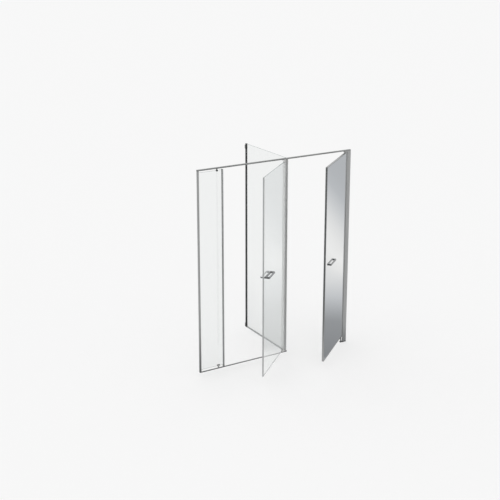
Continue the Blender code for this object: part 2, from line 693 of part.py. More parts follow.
def right_post():
    """The wall channel, the hinge post that slides in it, and the foot under both."""
    bottom, top = FLOOR + RIGHT_FOOT_HEIGHT + GAP, RAIL_UNDERSIDE - GAP
    height, middle = top - bottom, (top + bottom) / 2
    section = channel(RIGHT_CHANNEL_REACH, HINGE_POST_DEPTH + 2 * GAP, RIGHT_CHANNEL_WALL,
                      RIGHT_CHANNEL_WEB, CHANNEL_RADIUS)
    extrude("right_wall_channel", [section], height, SATIN, (RIGHT_WALL, 0, middle),
            facing(LEFT, FRONT))

    half, wall = HINGE_POST_DEPTH / 2, HINGE_POST_WALL
    width = RIGHT_CHANNEL_REACH + HINGE_POST_SIGHT - RIGHT_CHANNEL_WEB - HINGE_POST_PLAY
    groove, floor_x = LIP_FOOT / 2 + GAP, LIP_FOOT_DEPTH + GAP
    outside = fillet([(0, -half, POST_RADIUS), (width, -half), (width, half),
                      (0, half, POST_RADIUS), (0, groove), (floor_x, groove),
                      (floor_x, -groove), (0, -groove)])
    hollow = rectangle(floor_x + wall, width - wall, -half + wall, half - wall)
    extrude("right_hinge_post", [outside, hollow], height, SATIN, (HINGE_POST_FACE, 0, middle))

    neck, lip = LIP_FOOT / 2, LIP_THICKNESS / 2
    seal = [(LIP_FOOT_DEPTH, -neck), (LIP_FOOT_DEPTH, neck), (0, neck), (0, lip),
            (-LIP_PROUD, lip), (-LIP_PROUD, -lip), (0, -lip), (0, -neck)]
    extrude("right_post_lip_seal", [seal], BLOCK_BOTTOM - GAP - bottom, GREY_SEAL,
            (HINGE_POST_FACE, 0, (BLOCK_BOTTOM - GAP + bottom) / 2))

    foot("right_post_foot", RIGHT_WALL, CABINET_AXIS, RIGHT_CHANNEL_DEPTH, FLOOR,
         RIGHT_FOOT_HEIGHT)
    cabinet_pivot_post()


def cabinet_pivot_post():
    """The stub on the right foot's nose, whose spigot carries the mirror door."""
    base = FLOOR + RIGHT_FOOT_HEIGHT + GAP
    shoulder = LEAF_BOTTOM - 3 * GAP - PLATE_BOTTOM - BUSH_FLANGE
    spigot = LEAF_BOTTOM - GAP - PIN_SHORT
    turned("cabinet_pivot_post",
           [(0, spigot - base), (PIN_RADIUS, spigot - base), (PIN_RADIUS, shoulder - base),
            (PIVOT_POST_RADIUS, shoulder - base), (PIVOT_POST_RADIUS, 0), (0, 0)],
           SATIN, (CABINET_AXIS, 0, base))


def bolt_places(reach, inset):
    """Places of a handle's two bolts along the closed door, from its free edge."""
    start = -reach + inset
    return (("near", start + BOLT_INSET), ("far", start + HANDLE_LENGTH - BOLT_INSET))


def handle(name, start, face, outward, parent):
    """A square loop: a base bar on the door, two legs and a grip bar."""
    inner = HANDLE_INNER_RADIUS
    outside = fillet([(0, 0), (HANDLE_LENGTH, 0), (HANDLE_LENGTH, HANDLE_PROUD, HANDLE_RADIUS),
                      (0, HANDLE_PROUD, HANDLE_RADIUS)])
    hollow = rectangle(HANDLE_LEG, HANDLE_LENGTH - HANDLE_LEG, HANDLE_BASE,
                       HANDLE_PROUD - HANDLE_BAR, inner)
    loop = extrude(name, [outside, hollow], HANDLE_HEIGHT, CHROME, (start, face, HANDLE_LEVEL),
                   facing(RIGHT, outward), parent)
    return soften(solid(loop), HANDLE_EDGE)


def bore(obj, name, x, start, end, radius, parent):
    """Bore an object along Y from one place to another."""
    return cut(obj, cylinder(name, radius, end - start, (x, (start + end) / 2, HANDLE_LEVEL),
                             facing(RIGHT, DOWN), parent))


def bolt(name, x, head_seat, shank_end, parent):
    """A bolt along Y with its head on the inner side of the door."""
    length = head_seat - shank_end
    profile = [(0, BOLT_HEAD), (BOLT_HEAD_RADIUS, BOLT_HEAD), (BOLT_HEAD_RADIUS, 0),
               (BOLT_RADIUS, 0), (BOLT_RADIUS, -length), (0, -length)]
    return turned(name, profile, CHROME, (x, head_seat, HANDLE_LEVEL), facing(RIGHT, DOWN),
                  parent)


def shower_door(axis):
    """Clear glass between two corner clamps, with a seal on each free edge."""
    glass = pane("shower_door_glass", (-DOOR_GLASS_REACH, -GLASS / 2, DOOR_GLASS_BOTTOM),
                 (SHOWER_EDGE, GLASS / 2, DOOR_GLASS_TOP), CLEAR, axis)
    door_clamps(axis)
    door_seals(axis)
    door_handles(axis, glass)


def door_clamps(axis):
    """Corner clamps that grip the glass, each with a pivot pin in its web."""
    section = channel(DOOR_CLAMP_WEB + DOOR_CLAMP_BITE, SLOT, DOOR_CLAMP_WALL, DOOR_CLAMP_WEB,
                      DOOR_CLAMP_RADIUS)
    middle = SHOWER_EDGE - DOOR_CLAMP_LENGTH / 2
    pin = DOOR_CLAMP_WEB + 2 * GAP + BUSH_FLANGE + PIVOT_BLOCK_HEIGHT - 2 * PIN_SHORT
    for level, back, opening in (("top", HEAD_BEARING, DOWN), ("bottom", SILL_BEARING, UP)):
        clamp = solid(extrude("shower_door_clamp_" + level, [section], DOOR_CLAMP_LENGTH, SATIN,
                              (middle, 0, back), facing(opening, BACK), axis))
        side = opening[2]
        web_centre = back + side * DOOR_CLAMP_WEB / 2
        cut(clamp, cylinder("clamp_bore_" + level, PIN_RADIUS + GAP,
                            DOOR_CLAMP_WEB + 2 * OVERRUN, (0, 0, web_centre), None, axis))
        inner_end = back + side * (DOOR_CLAMP_WEB - PIN_SHORT)
        bottom = min(inner_end, inner_end - side * pin)
        turned("shower_door_pin_" + level,
               [(0, pin), (PIN_RADIUS, pin), (PIN_RADIUS, 0), (0, 0)], CHROME,
               (0, 0, bottom), parent=axis)


def door_seals(axis):
    """Hinge fin, magnet edge seal and drip seal, each clipped over the glass."""
    bottom, top = DOOR_GLASS_BOTTOM, DOOR_GLASS_TOP
    side, slot = SLOT / 2 + SEAL_WALL, SLOT / 2
    fin, root = FIN_THICKNESS / 2, GAP + SEAL_WALL

    hinge_seal = [(-SEAL_BITE, slot), (-SEAL_BITE, side), (root, side), (root, fin),
                  (root + FIN_REACH, fin), (root + FIN_REACH, -fin), (root, -fin), (root, -side),
                  (-SEAL_BITE, -side), (-SEAL_BITE, -slot), (GAP, -slot), (GAP, slot)]
    low, high = bottom + DOOR_CLAMP_BITE, top - DOOR_CLAMP_BITE
    extrude("shower_door_hinge_seal", [hinge_seal], high - low, SEAL,
            (SHOWER_EDGE, 0, (low + high) / 2), None, axis)

    head = EDGE_SEAL_HEAD
    edge_seal = fillet([(-SEAL_BITE, slot), (-SEAL_BITE, side), (head, side, EDGE_SEAL_RADIUS),
                        (head, -side, EDGE_SEAL_RADIUS), (-SEAL_BITE, -side),
                        (-SEAL_BITE, -slot), (GAP, -slot), (GAP, slot)])
    extrude("shower_door_magnet_seal", [edge_seal], top - bottom, GREY_SEAL,
            (-DOOR_GLASS_REACH, 0, (bottom + top) / 2), facing(LEFT, FRONT), axis)

    lip, spread = DRIP_LIP_THICKNESS, DRIP_LIP_SPREAD
    tip = GAP + DRIP_LIP_DROP
    drip_seal = [(-SEAL_BITE, slot), (-SEAL_BITE, side), (root, side), (tip, side + spread),
                 (tip, side + spread - lip), (root, side - lip), (root, -side),
                 (-SEAL_BITE, -side), (-SEAL_BITE, -slot), (GAP, -slot), (GAP, slot)]
    start = -DOOR_GLASS_REACH + SEAL_BITE + GAP
    end = SHOWER_EDGE - DOOR_CLAMP_LENGTH - GAP
    extrude("shower_door_drip_seal", [drip_seal], end - start, SEAL,
            ((start + end) / 2, 0, bottom), facing(DOWN, BACK), axis)


def door_handles(axis, glass):
    """Two loops back to back, bolted through the glass."""
    face = GLASS / 2 + GAP
    start = -SHOWER_REACH + SHOWER_HANDLE_INSET
    outer = handle("shower_handle_outer", start, -face, FRONT, axis)
    inner = handle("shower_handle_inner", start, face, BACK, axis)
    bite = HANDLE_BASE * BOLT_BITE_SHARE
    for place_name, x in bolt_places(SHOWER_REACH, SHOWER_HANDLE_INSET):
        radius = BOLT_RADIUS + GAP
        bore(outer, "outer_bore_" + place_name, x, -face - bite - GAP, 0, radius, axis)
        bore(inner, "inner_bore_" + place_name, x, 0, face + HANDLE_BASE + OVERRUN, radius, axis)
        bore(glass, "glass_bore_" + place_name, x, -face - OVERRUN, face + OVERRUN,
             BOLT_RADIUS + BOLT_CLEARANCE, axis)
        bolt("shower_handle_bolt_" + place_name, x, face + HANDLE_BASE + GAP, -face - bite, axis)


def mitred(name, section, length, at, turn, parent):
    """A frame bar whose ends slope back at 45 degrees from its outer side."""
    relief = GAP * math.sqrt(0.5)
    bar = solid(extrude(name, [section], length, SATIN, at, turn, parent))
    for vertex in bar.data.vertices:
        vertex.co.z -= math.copysign(vertex.co.x + relief, vertex.co.z)
    return bar


def leaf_frame(axis):
    """Four mitred channels round the mirror and its backing."""
    section = channel(LEAF_FACE, LEAF_SLOT, LEAF_WALL, LEAF_WEB, LEAF_RADIUS)
    width, height = CABINET_REACH + CABINET_EDGE, LEAF_TOP - LEAF_BOTTOM
    middle_x, middle_z = (CABINET_EDGE - CABINET_REACH) / 2, (LEAF_TOP + LEAF_BOTTOM) / 2
    for name, length, at, turn in (
            ("cabinet_stile_free", height, (-CABINET_REACH, 0, middle_z), facing(RIGHT, BACK)),
            ("cabinet_stile_hinge", height, (CABINET_EDGE, 0, middle_z), facing(LEFT, FRONT)),
            ("cabinet_rail_top", width, (middle_x, 0, LEAF_TOP), facing(DOWN, BACK)),
            ("cabinet_rail_bottom", width, (middle_x, 0, LEAF_BOTTOM), facing(UP, BACK))):
        mitred(name, section, length, at, turn, axis)


def leaf_panels(axis):
    """The mirror and the board behind it, with bores for the handle's bolts."""
    inset = LEAF_WEB + PANEL_PLAY
    left, right = -CABINET_REACH + inset, CABINET_EDGE - inset
    bottom, top = LEAF_BOTTOM + inset, LEAF_TOP - inset
    front = -LEAF_SLOT / 2 + GAP
    joint = front + MIRROR
    mirror = pane("cabinet_mirror", (left, front, bottom), (right, joint, top), SILVERED, axis)
    back = joint + GAP + CORE
    board = pane("cabinet_back_board", (left, joint + GAP, bottom), (right, back, top), BOARD,
                 axis)
    return mirror, board, front, back


def pivot_plates(axis):
    """Plates on the leaf's edges: a pin on the upper one and a bush in the lower one."""
    half = LEAF / 2 - PLATE_RADIUS
    start, end = CABINET_EDGE - PLATE_LENGTH, CABINET_EDGE - PLATE_RADIUS
    seat = LEAF_TOP + GAP
    pin_top = BLOCK_TOP - PIN_SHORT
    upper = box("cabinet_pivot_plate_top", (start, -half, seat), (end, half, seat + PLATE_TOP),
                DARK, axis)
    join(upper, cylinder("plate_pin", PIN_RADIUS, pin_top - seat - PLATE_TOP / 2,
                         (0, 0, (pin_top + seat + PLATE_TOP / 2) / 2), None, axis))

    under = LEAF_BOTTOM - GAP
    lower = box("cabinet_pivot_plate_bottom", (start, -half, under - PLATE_BOTTOM),
                (end, half, under), DARK, axis)
    cut(lower, cylinder("plate_bore", BUSH_HOUSING, PLATE_BOTTOM + 2 * OVERRUN,
                        (0, 0, under - PLATE_BOTTOM / 2), None, axis))
    bush("cabinet_bush_bottom", 0, under - PLATE_BOTTOM - GAP - BUSH_FLANGE, 1,
         PLATE_BOTTOM - PIN_SHORT / 2, axis)


def mirror_door(axis):
    leaf_frame(axis)
    mirror, board, front, back = leaf_panels(axis)
    pivot_plates(axis)
    face = front - GAP
    grip = handle("cabinet_handle", -CABINET_REACH + CABINET_HANDLE_INSET, face, FRONT, axis)
    bite = HANDLE_BASE * BOLT_BITE_SHARE
    for place_name, x in bolt_places(CABINET_REACH, CABINET_HANDLE_INSET):
        bore(grip, "grip_bore_" + place_name, x, face - bite - GAP, front, BOLT_RADIUS + GAP, axis)
        for panel in (mirror, board):
            bore(panel, panel.name + "_bore_" + place_name, x, front - OVERRUN, back + OVERRUN,
                 BOLT_RADIUS + BOLT_CLEARANCE, axis)
        bolt("cabinet_handle_bolt_" + place_name, x, back + GAP, face - bite, axis)


def build():
    left_wall_channel()
    fixed_glass()
    closing_profile()
    fixed_clamps()
    top_rails()
    threshold()
    middle_post()
    post_connector()
    separator()
    strike_seal()
    fixed_pivots()
    right_post()
    shower_door(hinge("shower_hinge_axis", SHOWER_AXIS, SHOWER_OPENING_ANGLE))
    mirror_door(hinge("cabinet_hinge_axis", CABINET_AXIS, CABINET_OPENING_ANGLE))


build()
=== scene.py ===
# %% [markdown]
# # Niche shower enclosure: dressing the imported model
# The real object is one slim aluminium frame across a niche. It carries a narrow fixed pane, a
# clear glass shower door, a glass separator behind the middle post and a mirror-faced door in
# front of a utility niche. The CAD model already holds every profile, pane, seal and pivot in
# its place, so this file keeps those solids and gives them finishes. Small things that a CAD
# model leaves out, such as screws, liners and caps, are then made as meshes.
#
# Everything is in metres: x runs right along the front, y into the niche and z up.

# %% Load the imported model
import json
import math

import bmesh
import bpy
from mathutils import Matrix, Vector

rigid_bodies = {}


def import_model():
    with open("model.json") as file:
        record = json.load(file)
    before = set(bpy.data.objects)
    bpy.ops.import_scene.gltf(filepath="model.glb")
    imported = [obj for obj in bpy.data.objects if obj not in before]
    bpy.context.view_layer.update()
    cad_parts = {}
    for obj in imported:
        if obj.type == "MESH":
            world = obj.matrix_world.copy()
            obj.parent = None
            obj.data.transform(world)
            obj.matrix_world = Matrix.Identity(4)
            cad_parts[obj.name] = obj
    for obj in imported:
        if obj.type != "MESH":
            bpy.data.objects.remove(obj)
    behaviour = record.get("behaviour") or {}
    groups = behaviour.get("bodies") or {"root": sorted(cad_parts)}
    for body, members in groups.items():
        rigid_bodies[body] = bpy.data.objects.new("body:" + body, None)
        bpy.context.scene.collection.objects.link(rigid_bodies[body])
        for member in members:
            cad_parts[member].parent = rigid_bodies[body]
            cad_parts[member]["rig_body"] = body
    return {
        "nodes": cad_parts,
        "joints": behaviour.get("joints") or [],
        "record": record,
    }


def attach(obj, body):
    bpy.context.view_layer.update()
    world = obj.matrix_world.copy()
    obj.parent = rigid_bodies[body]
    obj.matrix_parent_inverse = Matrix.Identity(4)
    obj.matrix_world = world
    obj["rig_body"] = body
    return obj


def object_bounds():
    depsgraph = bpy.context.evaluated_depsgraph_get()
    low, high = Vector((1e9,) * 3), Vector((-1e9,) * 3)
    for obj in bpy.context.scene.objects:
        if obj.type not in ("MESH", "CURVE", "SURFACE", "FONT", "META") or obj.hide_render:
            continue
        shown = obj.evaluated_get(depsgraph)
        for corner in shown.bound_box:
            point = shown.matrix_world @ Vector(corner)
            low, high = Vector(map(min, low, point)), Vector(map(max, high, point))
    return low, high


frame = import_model()
cad_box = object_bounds()
nodes = frame["nodes"]
floor_level = cad_box[0].z
size = cad_box[1] - cad_box[0]
print(f"{len(nodes)} CAD nodes, {size.x:.3f} x {size.y:.3f} x {size.z:.3f} m")

# %% [markdown]
# ## Camera
# The picture to match looks down on the niche from its left. A camera can be placed by eye, but
# straight frames show every error, so its place, its aim and its lens were found by least
# squares from the corners of the frame. Upright lines stay nearly upright in the picture, which
# a photographer gets by shifting the lens. A small shift is used here, and the rest is pitch,
# which keeps the whole object in every other view too.

# %% Camera
CAMERA_PLACE = (-5.087, -7.846, 4.137)
CAMERA_PITCH = 15.29  # degrees below the horizon
CAMERA_YAW = -30.81  # degrees from straight into the niche
SENSOR, LENS = 36.0, 72.2  # mm
LENS_SHIFT = -0.1  # of the sensor's width
FAR_LIMIT = 200.0  # past the far corners of the floor

camera = bpy.data.objects.new("camera", bpy.data.cameras.new("camera"))
camera.data.sensor_width = SENSOR
camera.data.lens = LENS
camera.data.shift_y = LENS_SHIFT
camera.data.clip_end = FAR_LIMIT
camera.location = CAMERA_PLACE
camera.rotation_euler = (math.radians(90.0 - CAMERA_PITCH), 0.0, math.radians(CAMERA_YAW))
bpy.context.scene.collection.objects.link(camera)
bpy.context.scene.camera = camera
bpy.context.scene.view_settings.view_transform = "Standard"
print("camera", tuple(round(v, 2) for v in camera.location), "lens", LENS, "mm")

# %% [markdown]
# ## Helpers for node materials
# Every finish here starts from one Principled shader. Each could be wired by hand, but the same
# few links would then be written out again and again. These helpers build what recurs: noise
# measured in metres of the object, a change of range, blends of colours and of shaders, and
# bump. The Mapping node works in its TEXTURE type, which turns first and then divides by its
# scale, so the scale reads as the size of one grain in metres, along directions that may be
# turned.

# %% Helpers for node materials
MIX_FACTOR, MIX_FIRST, MIX_SECOND, MIX_RESULT = 0, 6, 7, 2  # a Mix node's sockets for colours
NOISE_LOW, NOISE_HIGH = 0.3, 0.7  # noise mostly lies between these


def finish(name, colour, roughness, metallic=0.0):
    """A material with one Principled shader. Returns it with its node tree and its shader."""
    made = bpy.data.materials.new(name)
    made.use_nodes = True
    shader = made.node_tree.nodes["Principled BSDF"]
    shader.inputs["Base Color"].default_value = (*colour, 1.0)
    shader.inputs["Roughness"].default_value = roughness
    shader.inputs["Metallic"].default_value = metallic
    return made, made.node_tree, shader


def noise(tree, grain, turn=0.0, detail=3.0):
    """Noise whose grain is given in metres along x, y and z, turned about z."""
    place = tree.nodes.new("ShaderNodeTexCoord")
    mapping = tree.nodes.new("ShaderNodeMapping")
    mapping.vector_type = "TEXTURE"
    mapping.inputs["Rotation"].default_value = (0.0, 0.0, turn)
    mapping.inputs["Scale"].default_value = grain
    texture = tree.nodes.new("ShaderNodeTexNoise")
    texture.inputs["Scale"].default_value = 1.0
    texture.inputs["Detail"].default_value = detail
    tree.links.new(place.outputs["Object"], mapping.inputs["Vector"])
    tree.links.new(mapping.outputs["Vector"], texture.inputs["Vector"])
    return texture.outputs["Fac"]


def ranged(tree, value, low, high, start=NOISE_LOW, end=NOISE_HIGH):
    """Maps the band of noise, or another band, to low and high."""
    node = tree.nodes.new("ShaderNodeMapRange")
    limits = {"From Min": start, "From Max": end, "To Min": low, "To Max": high}
    for socket, number in limits.items():
        node.inputs[socket].default_value = number
    tree.links.new(value, node.inputs["Value"])
    return node.outputs["Result"]


def maths(tree, operation, first, second=None):
    """One Math node. Each input is a socket or a number."""
    node = tree.nodes.new("ShaderNodeMath")
    node.operation = operation
    for socket, value in zip(node.inputs, (first, second)):
        if isinstance(value, (int, float)):
            socket.default_value = value
        elif value is not None:
            tree.links.new(value, socket)
    return node.outputs[0]


def reach_along(tree, vector, direction):
    """How far a vector reaches in a direction."""
    node = tree.nodes.new("ShaderNodeVectorMath")
    node.operation = "DOT_PRODUCT"
    node.inputs[1].default_value = direction
    tree.links.new(vector, node.inputs[0])
    return node.outputs["Value"]


def mix_colours(tree, factor, first, second):
    """A blend of two colours, each a socket or a colour."""
    node = tree.nodes.new("ShaderNodeMix")
    node.data_type = "RGBA"
    tree.links.new(factor, node.inputs[MIX_FACTOR])
    for socket, value in ((node.inputs[MIX_FIRST], first), (node.inputs[MIX_SECOND], second)):
        if isinstance(value, tuple):
            socket.default_value = (*value, 1.0)
        else:
            tree.links.new(value, socket)
    return node.outputs[MIX_RESULT]


def mix_shaders(tree, factor, first, second):
    """The first shader where the factor is 0, and the second where it is 1."""
    node = tree.nodes.new("ShaderNodeMixShader")
    for socket, value in zip(node.inputs, (factor, first, second)):
        tree.links.new(value, socket)
    return node.outputs[0]


def tint(tree, shader, value, first, second):
    """Blends the base colour from one colour to another by a noise."""
    tree.links.new(mix_colours(tree, ranged(tree, value, 0.0, 1.0), first, second),
                   shader.inputs["Base Color"])


def lighter(colour, share):
    """A colour made paler by a share of itself, or darker where the share is negative."""
    return tuple(channel * (1.0 + share) for channel in colour)


def shade(tree, shader, value, colour, shares):
    """Moves the base colour between two such shares by a noise."""
    tint(tree, shader, value, *(lighter(colour, share) for share in shares))


def gloss(tree, shader, value, low, high, middle=0.0):
    """Moves the roughness between two values by a noise, counted from a middle one if given."""
    tree.links.new(ranged(tree, value, middle + low, middle + high), shader.inputs["Roughness"])


def bump(tree, shader, value, height):
    """Relief of a height in metres from a value between 0 and 1."""
    node = tree.nodes.new("ShaderNodeBump")
    node.inputs["Distance"].default_value = height
    tree.links.new(value, node.inputs["Height"])
    tree.links.new(node.outputs["Normal"], shader.inputs["Normal"])


print("helpers for node materials are ready")

# %% [markdown]
# ## Backdrop
# The picture has a near-white ground without a horizon. The world gives both the light from all
# round and the tone behind the object, and these need different values. The kind of ray tells
# them apart: white light at a plain strength falls on the object, and the pale tone shows
# wherever the backdrop is seen, also in metal and through glass.

# %% Backdrop
PALE = (0.930, 0.930, 0.930)  # backdrop and floor as the camera sees them
SKY_LIGHT = 0.69  # share of the light that comes from all round


def backdrop():
    """White light from all round, and a pale tone where it is seen, also in metal and glass."""
    world = bpy.data.worlds.new("studio")
    bpy.context.scene.world = world
    world.use_nodes = True
    tree = world.node_tree
    light = tree.nodes["Background"]
    light.inputs["Color"].default_value = (1.0, 1.0, 1.0, 1.0)
    light.inputs["Strength"].default_value = SKY_LIGHT
    seen = tree.nodes.new("ShaderNodeBackground")
    seen.inputs["Color"].default_value = (*PALE, 1.0)
    path = tree.nodes.new("ShaderNodeLightPath")
    shows = maths(tree, "MAXIMUM", path.outputs["Is Camera Ray"], path.outputs["Is Glossy Ray"])
    shows = maths(tree, "MAXIMUM", shows, path.outputs["Is Transmission Ray"])
    tree.links.new(mix_shaders(tree, shows, light.outputs[0], seen.outputs[0]),
                   tree.nodes["World Output"].inputs[0])
    return world


print("backdrop:", backdrop().name)

# %% [markdown]
# ## Painted reflections
# Bare metal shows its surroundings more than its colour. A studio therefore sets grey cards
# round the object, out of sight. Here no card is built: the floor glows with painted reflections,
# tones that show only in reflections. One to the right grades from dark to light and back, a
# little cooler where it is dark, for the mirror door, and one at the front left darkens narrow
# edges and the ends of the handles as painted shade. They are tones worked out from a place on
# the floor, so no mesh is made for them.

# %% Painted reflections
CARD_DIRECTION = (0.918, 0.398, 0.0)  # where the mirror door sends the camera's rays
CARD_SIDE = (-CARD_DIRECTION[1], CARD_DIRECTION[0], 0.0)
CARD_START = 0.311  # how far along it the first tone lies, under the mirror door
# painted reflections: tones that the floor shows only in reflections, graded for the mirror door
PAINTED_REFLECTION_TONES = ((0.0, 0.27), (0.90, 0.335), (1.15, 0.42), (1.66, 0.615), (2.2, 0.765),
              (2.8, 0.875), (3.45, 0.925), (4.2, 0.88), (5.0, 0.80), (5.9, 0.68), (7.0, 0.555),
              (8.0, 0.52), (9.0, 0.51))  # tones at distances along it
CARD_LENGTH = PAINTED_REFLECTION_TONES[-1][0]
COOL_BELOW, COOL_WITHIN = 0.86, 0.30  # tones under the first turn cool, fully within the second
LESS_RED, MORE_BLUE = 0.035, 0.045
LEAN, LEAN_OFFSET = 5.0, 0.42  # how far the far tones lean per metre to the side, and from where
LEAN_GROWS = (2.2, 3.4)  # between these distances
CARD_RIM, RIM_SLOPE = (-0.56, -0.48), 0.10  # its soft edge to the side, moving out with distance
CARD_FOOT = (-0.35, -0.05)  # its soft edge at the near end
# painted shade in reflections: a dark tone that narrow edges and the handles' ends reflect
EDGE_REFLECTION_PAINTED_SHADE = (0.21, 0.22, 0.22)
EDGE_CARD_X, EDGE_CARD_Y = (-1.0, -0.3), (0.0, 0.8)  # full before the first, gone past the second


def reflected(tree):
    """1 for a ray that metal or a glass face reflects, 0 for one that glass lets through."""
    path = tree.nodes.new("ShaderNodeLightPath")
    bounced = maths(tree, "SUBTRACT", path.outputs["Is Glossy Ray"],
                    path.outputs["Is Transmission Ray"])
    return maths(tree, "MAXIMUM", bounced, 0.0)


def painted_reflection_colour(tone):
    """A grey that turns a little cooler where it is dark."""
    cool = min(1.0, max(0.0, (COOL_BELOW - tone) / COOL_WITHIN))
    return tone * (1.0 - LESS_RED * cool), tone, tone * (1.0 + MORE_BLUE * cool), 1.0


def painted_reflection_ramp(tree, distance):
    """The graded painted reflection's colour at a distance along it."""
    ramp = tree.nodes.new("ShaderNodeValToRGB")
    while len(ramp.color_ramp.elements) < len(PAINTED_REFLECTION_TONES):
        ramp.color_ramp.elements.new(1.0)
    for element, (reach, tone) in zip(ramp.color_ramp.elements, PAINTED_REFLECTION_TONES):
        element.position = reach / CARD_LENGTH
        element.color = painted_reflection_colour(tone)
    tree.links.new(maths(tree, "DIVIDE", distance, CARD_LENGTH), ramp.inputs[0])
    return ramp.outputs[0]


def painted_reflections(tree):
    """The painted reflection that each place of the floor shows, seen only in reflections."""
    place = tree.nodes.new("ShaderNodeNewGeometry").outputs["Position"]
    apart = tree.nodes.new("ShaderNodeSeparateXYZ")
    tree.links.new(place, apart.inputs[0])
    x, y = apart.outputs[0], apart.outputs[1]
    distance = maths(tree, "ADD", reach_along(tree, place, CARD_DIRECTION), -CARD_START)
    side = reach_along(tree, place, CARD_SIDE)

    lean = maths(tree, "MULTIPLY", ranged(tree, distance, 0.0, LEAN, *LEAN_GROWS),
                 maths(tree, "ADD", side, LEAN_OFFSET))
    # the graded painted reflection, leaning at its far end
    card = painted_reflection_ramp(tree, maths(tree, "ADD", distance, lean))
    rim = maths(tree, "ADD", side, maths(tree, "MULTIPLY", distance, RIM_SLOPE))
    on_painted_reflection = maths(tree, "MULTIPLY", ranged(tree, rim, 0.0, 1.0, *CARD_RIM),
                    ranged(tree, distance, 0.0, 1.0, *CARD_FOOT))
    at_left = maths(tree, "MULTIPLY", ranged(tree, x, 1.0, 0.0, *EDGE_CARD_X),
                    ranged(tree, y, 1.0, 0.0, *EDGE_CARD_Y))
    return mix_colours(tree, at_left, mix_colours(tree, on_painted_reflection, PALE, card), EDGE_REFLECTION_PAINTED_SHADE)


print("graded painted reflection:", len(PAINTED_REFLECTION_TONES), "tones over", CARD_LENGTH, "m")

# %% [markdown]
# ## Floor
# A large plane carries on the tone of the backdrop, if the light that it gets brings out that
# same tone. It keeps a share of it in the shade, so the shadow under the object stays pale. Its
# material also glows with the painted reflections: they take over for rays that metal or a glass
# face reflects.

# %% Floor
FLOOR_REACH = 90.0
FLOOR_ROUGHNESS = 0.9
FLOOR_GLOW = 0.60  # share of its tone that the floor keeps in the shade, as a lit table does


def floor():
    """Lit and partly glowing where it is seen, and glowing painted reflections where it is
    reflected.
    """
    mesh = bpy.data.meshes.new("floor")
    reach, level = FLOOR_REACH, floor_level
    mesh.from_pydata([(-reach, -reach, level), (reach, -reach, level), (reach, reach, level),
                      (-reach, reach, level)], [], [(0, 1, 2, 3)])
    plane = bpy.data.objects.new("floor", mesh)
    bpy.context.scene.collection.objects.link(plane)
    material, tree, shader = finish("pale floor", PALE, FLOOR_ROUGHNESS)
    shader.inputs["Specular IOR Level"].default_value = 0.0  # matt, so it mirrors nothing
    glow = tree.nodes.new("ShaderNodeEmission")
    glow.inputs["Color"].default_value = (*PALE, 1.0)
    path = tree.nodes.new("ShaderNodeLightPath")
    direct = maths(tree, "MAXIMUM", path.outputs["Is Camera Ray"],
                   path.outputs["Is Transmission Ray"])
    seen = mix_shaders(tree, maths(tree, "MULTIPLY", direct, FLOOR_GLOW), shader.outputs[0],
                       glow.outputs[0])
    # the floor glows with the painted reflections for reflected rays
    reflection_glow = tree.nodes.new("ShaderNodeEmission")
    tree.links.new(painted_reflections(tree), reflection_glow.inputs["Color"])
    tree.links.new(mix_shaders(tree, reflected(tree), seen, reflection_glow.outputs[0]),
                   tree.nodes["Material Output"].inputs[0])
    mesh.materials.append(material)
    return plane


print("floor at", round(floor().data.vertices[0].co.z, 3), "m")

# %% [markdown]
# ## Lamps
# A sun lamp lights the whole floor evenly, where an area lamp would leave a bright patch, and its
# wide angle keeps shadows soft. The key stands at the front left, and the fill behind the object,
# also to the left.

# %% Lamps
SUNS = (("key", 0.88, 44.0, -40.0, 80.0),
        ("fill", 0.50, 40.0, 215.0, 100.0))  # strength, lean, heading and spread


def sun(name, strength, lean, heading, spread):
    """A sun leaning from the zenith toward a heading, counted from the front, in degrees."""
    lamp = bpy.data.lights.new(name, "SUN")
    lamp.energy = strength
    lamp.angle = math.radians(spread)
    made = bpy.data.objects.new(name, lamp)
    made.rotation_euler = (math.radians(lean), 0.0, math.radians(heading))
    bpy.context.scene.collection.objects.link(made)
    return made


for name, *values in SUNS:
    print("lamp:", sun(name, *values).name)

# %% [markdown]
# ## Satin anodised aluminium
# Every profile is drawn through a die, ground along its length and anodised. The grinding leaves
# fine streaks that run with the profile, and anodising leaves a soft satin. The shader's own
# anisotropy could stretch the highlights, but it needs a direction on every face, which the
# imported meshes don't carry. So the streaks are noise whose grain is long in one direction, used
# for tone and a few hundredths of a millimetre of relief, and slower noise moves the roughness.
# Each direction needs its own material, because streaks across a post would look wrong. So does
# each copy of the colour: the rails, the head rail and the sill get darker copies as painted
# shade, the middle post a paler one as painted light, and the separator's rear channel a much
# darker one as painted shade.

# %% Satin anodised aluminium
ALUMINIUM = (0.36, 0.365, 0.365)
# the rails, the head rail and the sill: the same aluminium, darkened as painted shade
RAIL_ALUMINIUM_PAINTED_SHADE = (0.28, 0.285, 0.285)
HEAD_ALUMINIUM_PAINTED_SHADE = (0.245, 0.25, 0.25)
SILL_ALUMINIUM_PAINTED_SHADE = (0.22, 0.225, 0.225)
# the middle post: the same aluminium, paled as painted light
POST_ALUMINIUM_PAINTED_LIGHT = (0.42, 0.425, 0.425)
# the separator's rear channel: the same aluminium, darkened as painted shade
CHANNEL_ALUMINIUM_PAINTED_SHADE = (0.10, 0.102, 0.104)
SATIN, MATT = 0.30, 0.34  # roughness
FINE, LONG = 0.0006, 0.09  # a streak's width and length
STREAK_TONES, STREAK_RELIEF = (-0.05, 0.06), 0.00003
CLOUDS, CLOUD_GLOSS = (0.05, 0.05, 0.12), (-0.03, 0.05)


def brushed(name, colour, roughness, axis, turn=0.0, metallic=1.0):
    """Metal with streaks along an axis, turned about z with the door that carries it."""
    material, tree, shader = finish(name, colour, roughness, metallic)
    grain = [FINE] * 3
    grain["xyz".index(axis)] = LONG
    streaks = noise(tree, grain, turn)
    shade(tree, shader, streaks, colour, STREAK_TONES)
    gloss(tree, shader, noise(tree, CLOUDS, turn), *CLOUD_GLOSS, roughness)
    bump(tree, shader, streaks, STREAK_RELIEF)
    return material


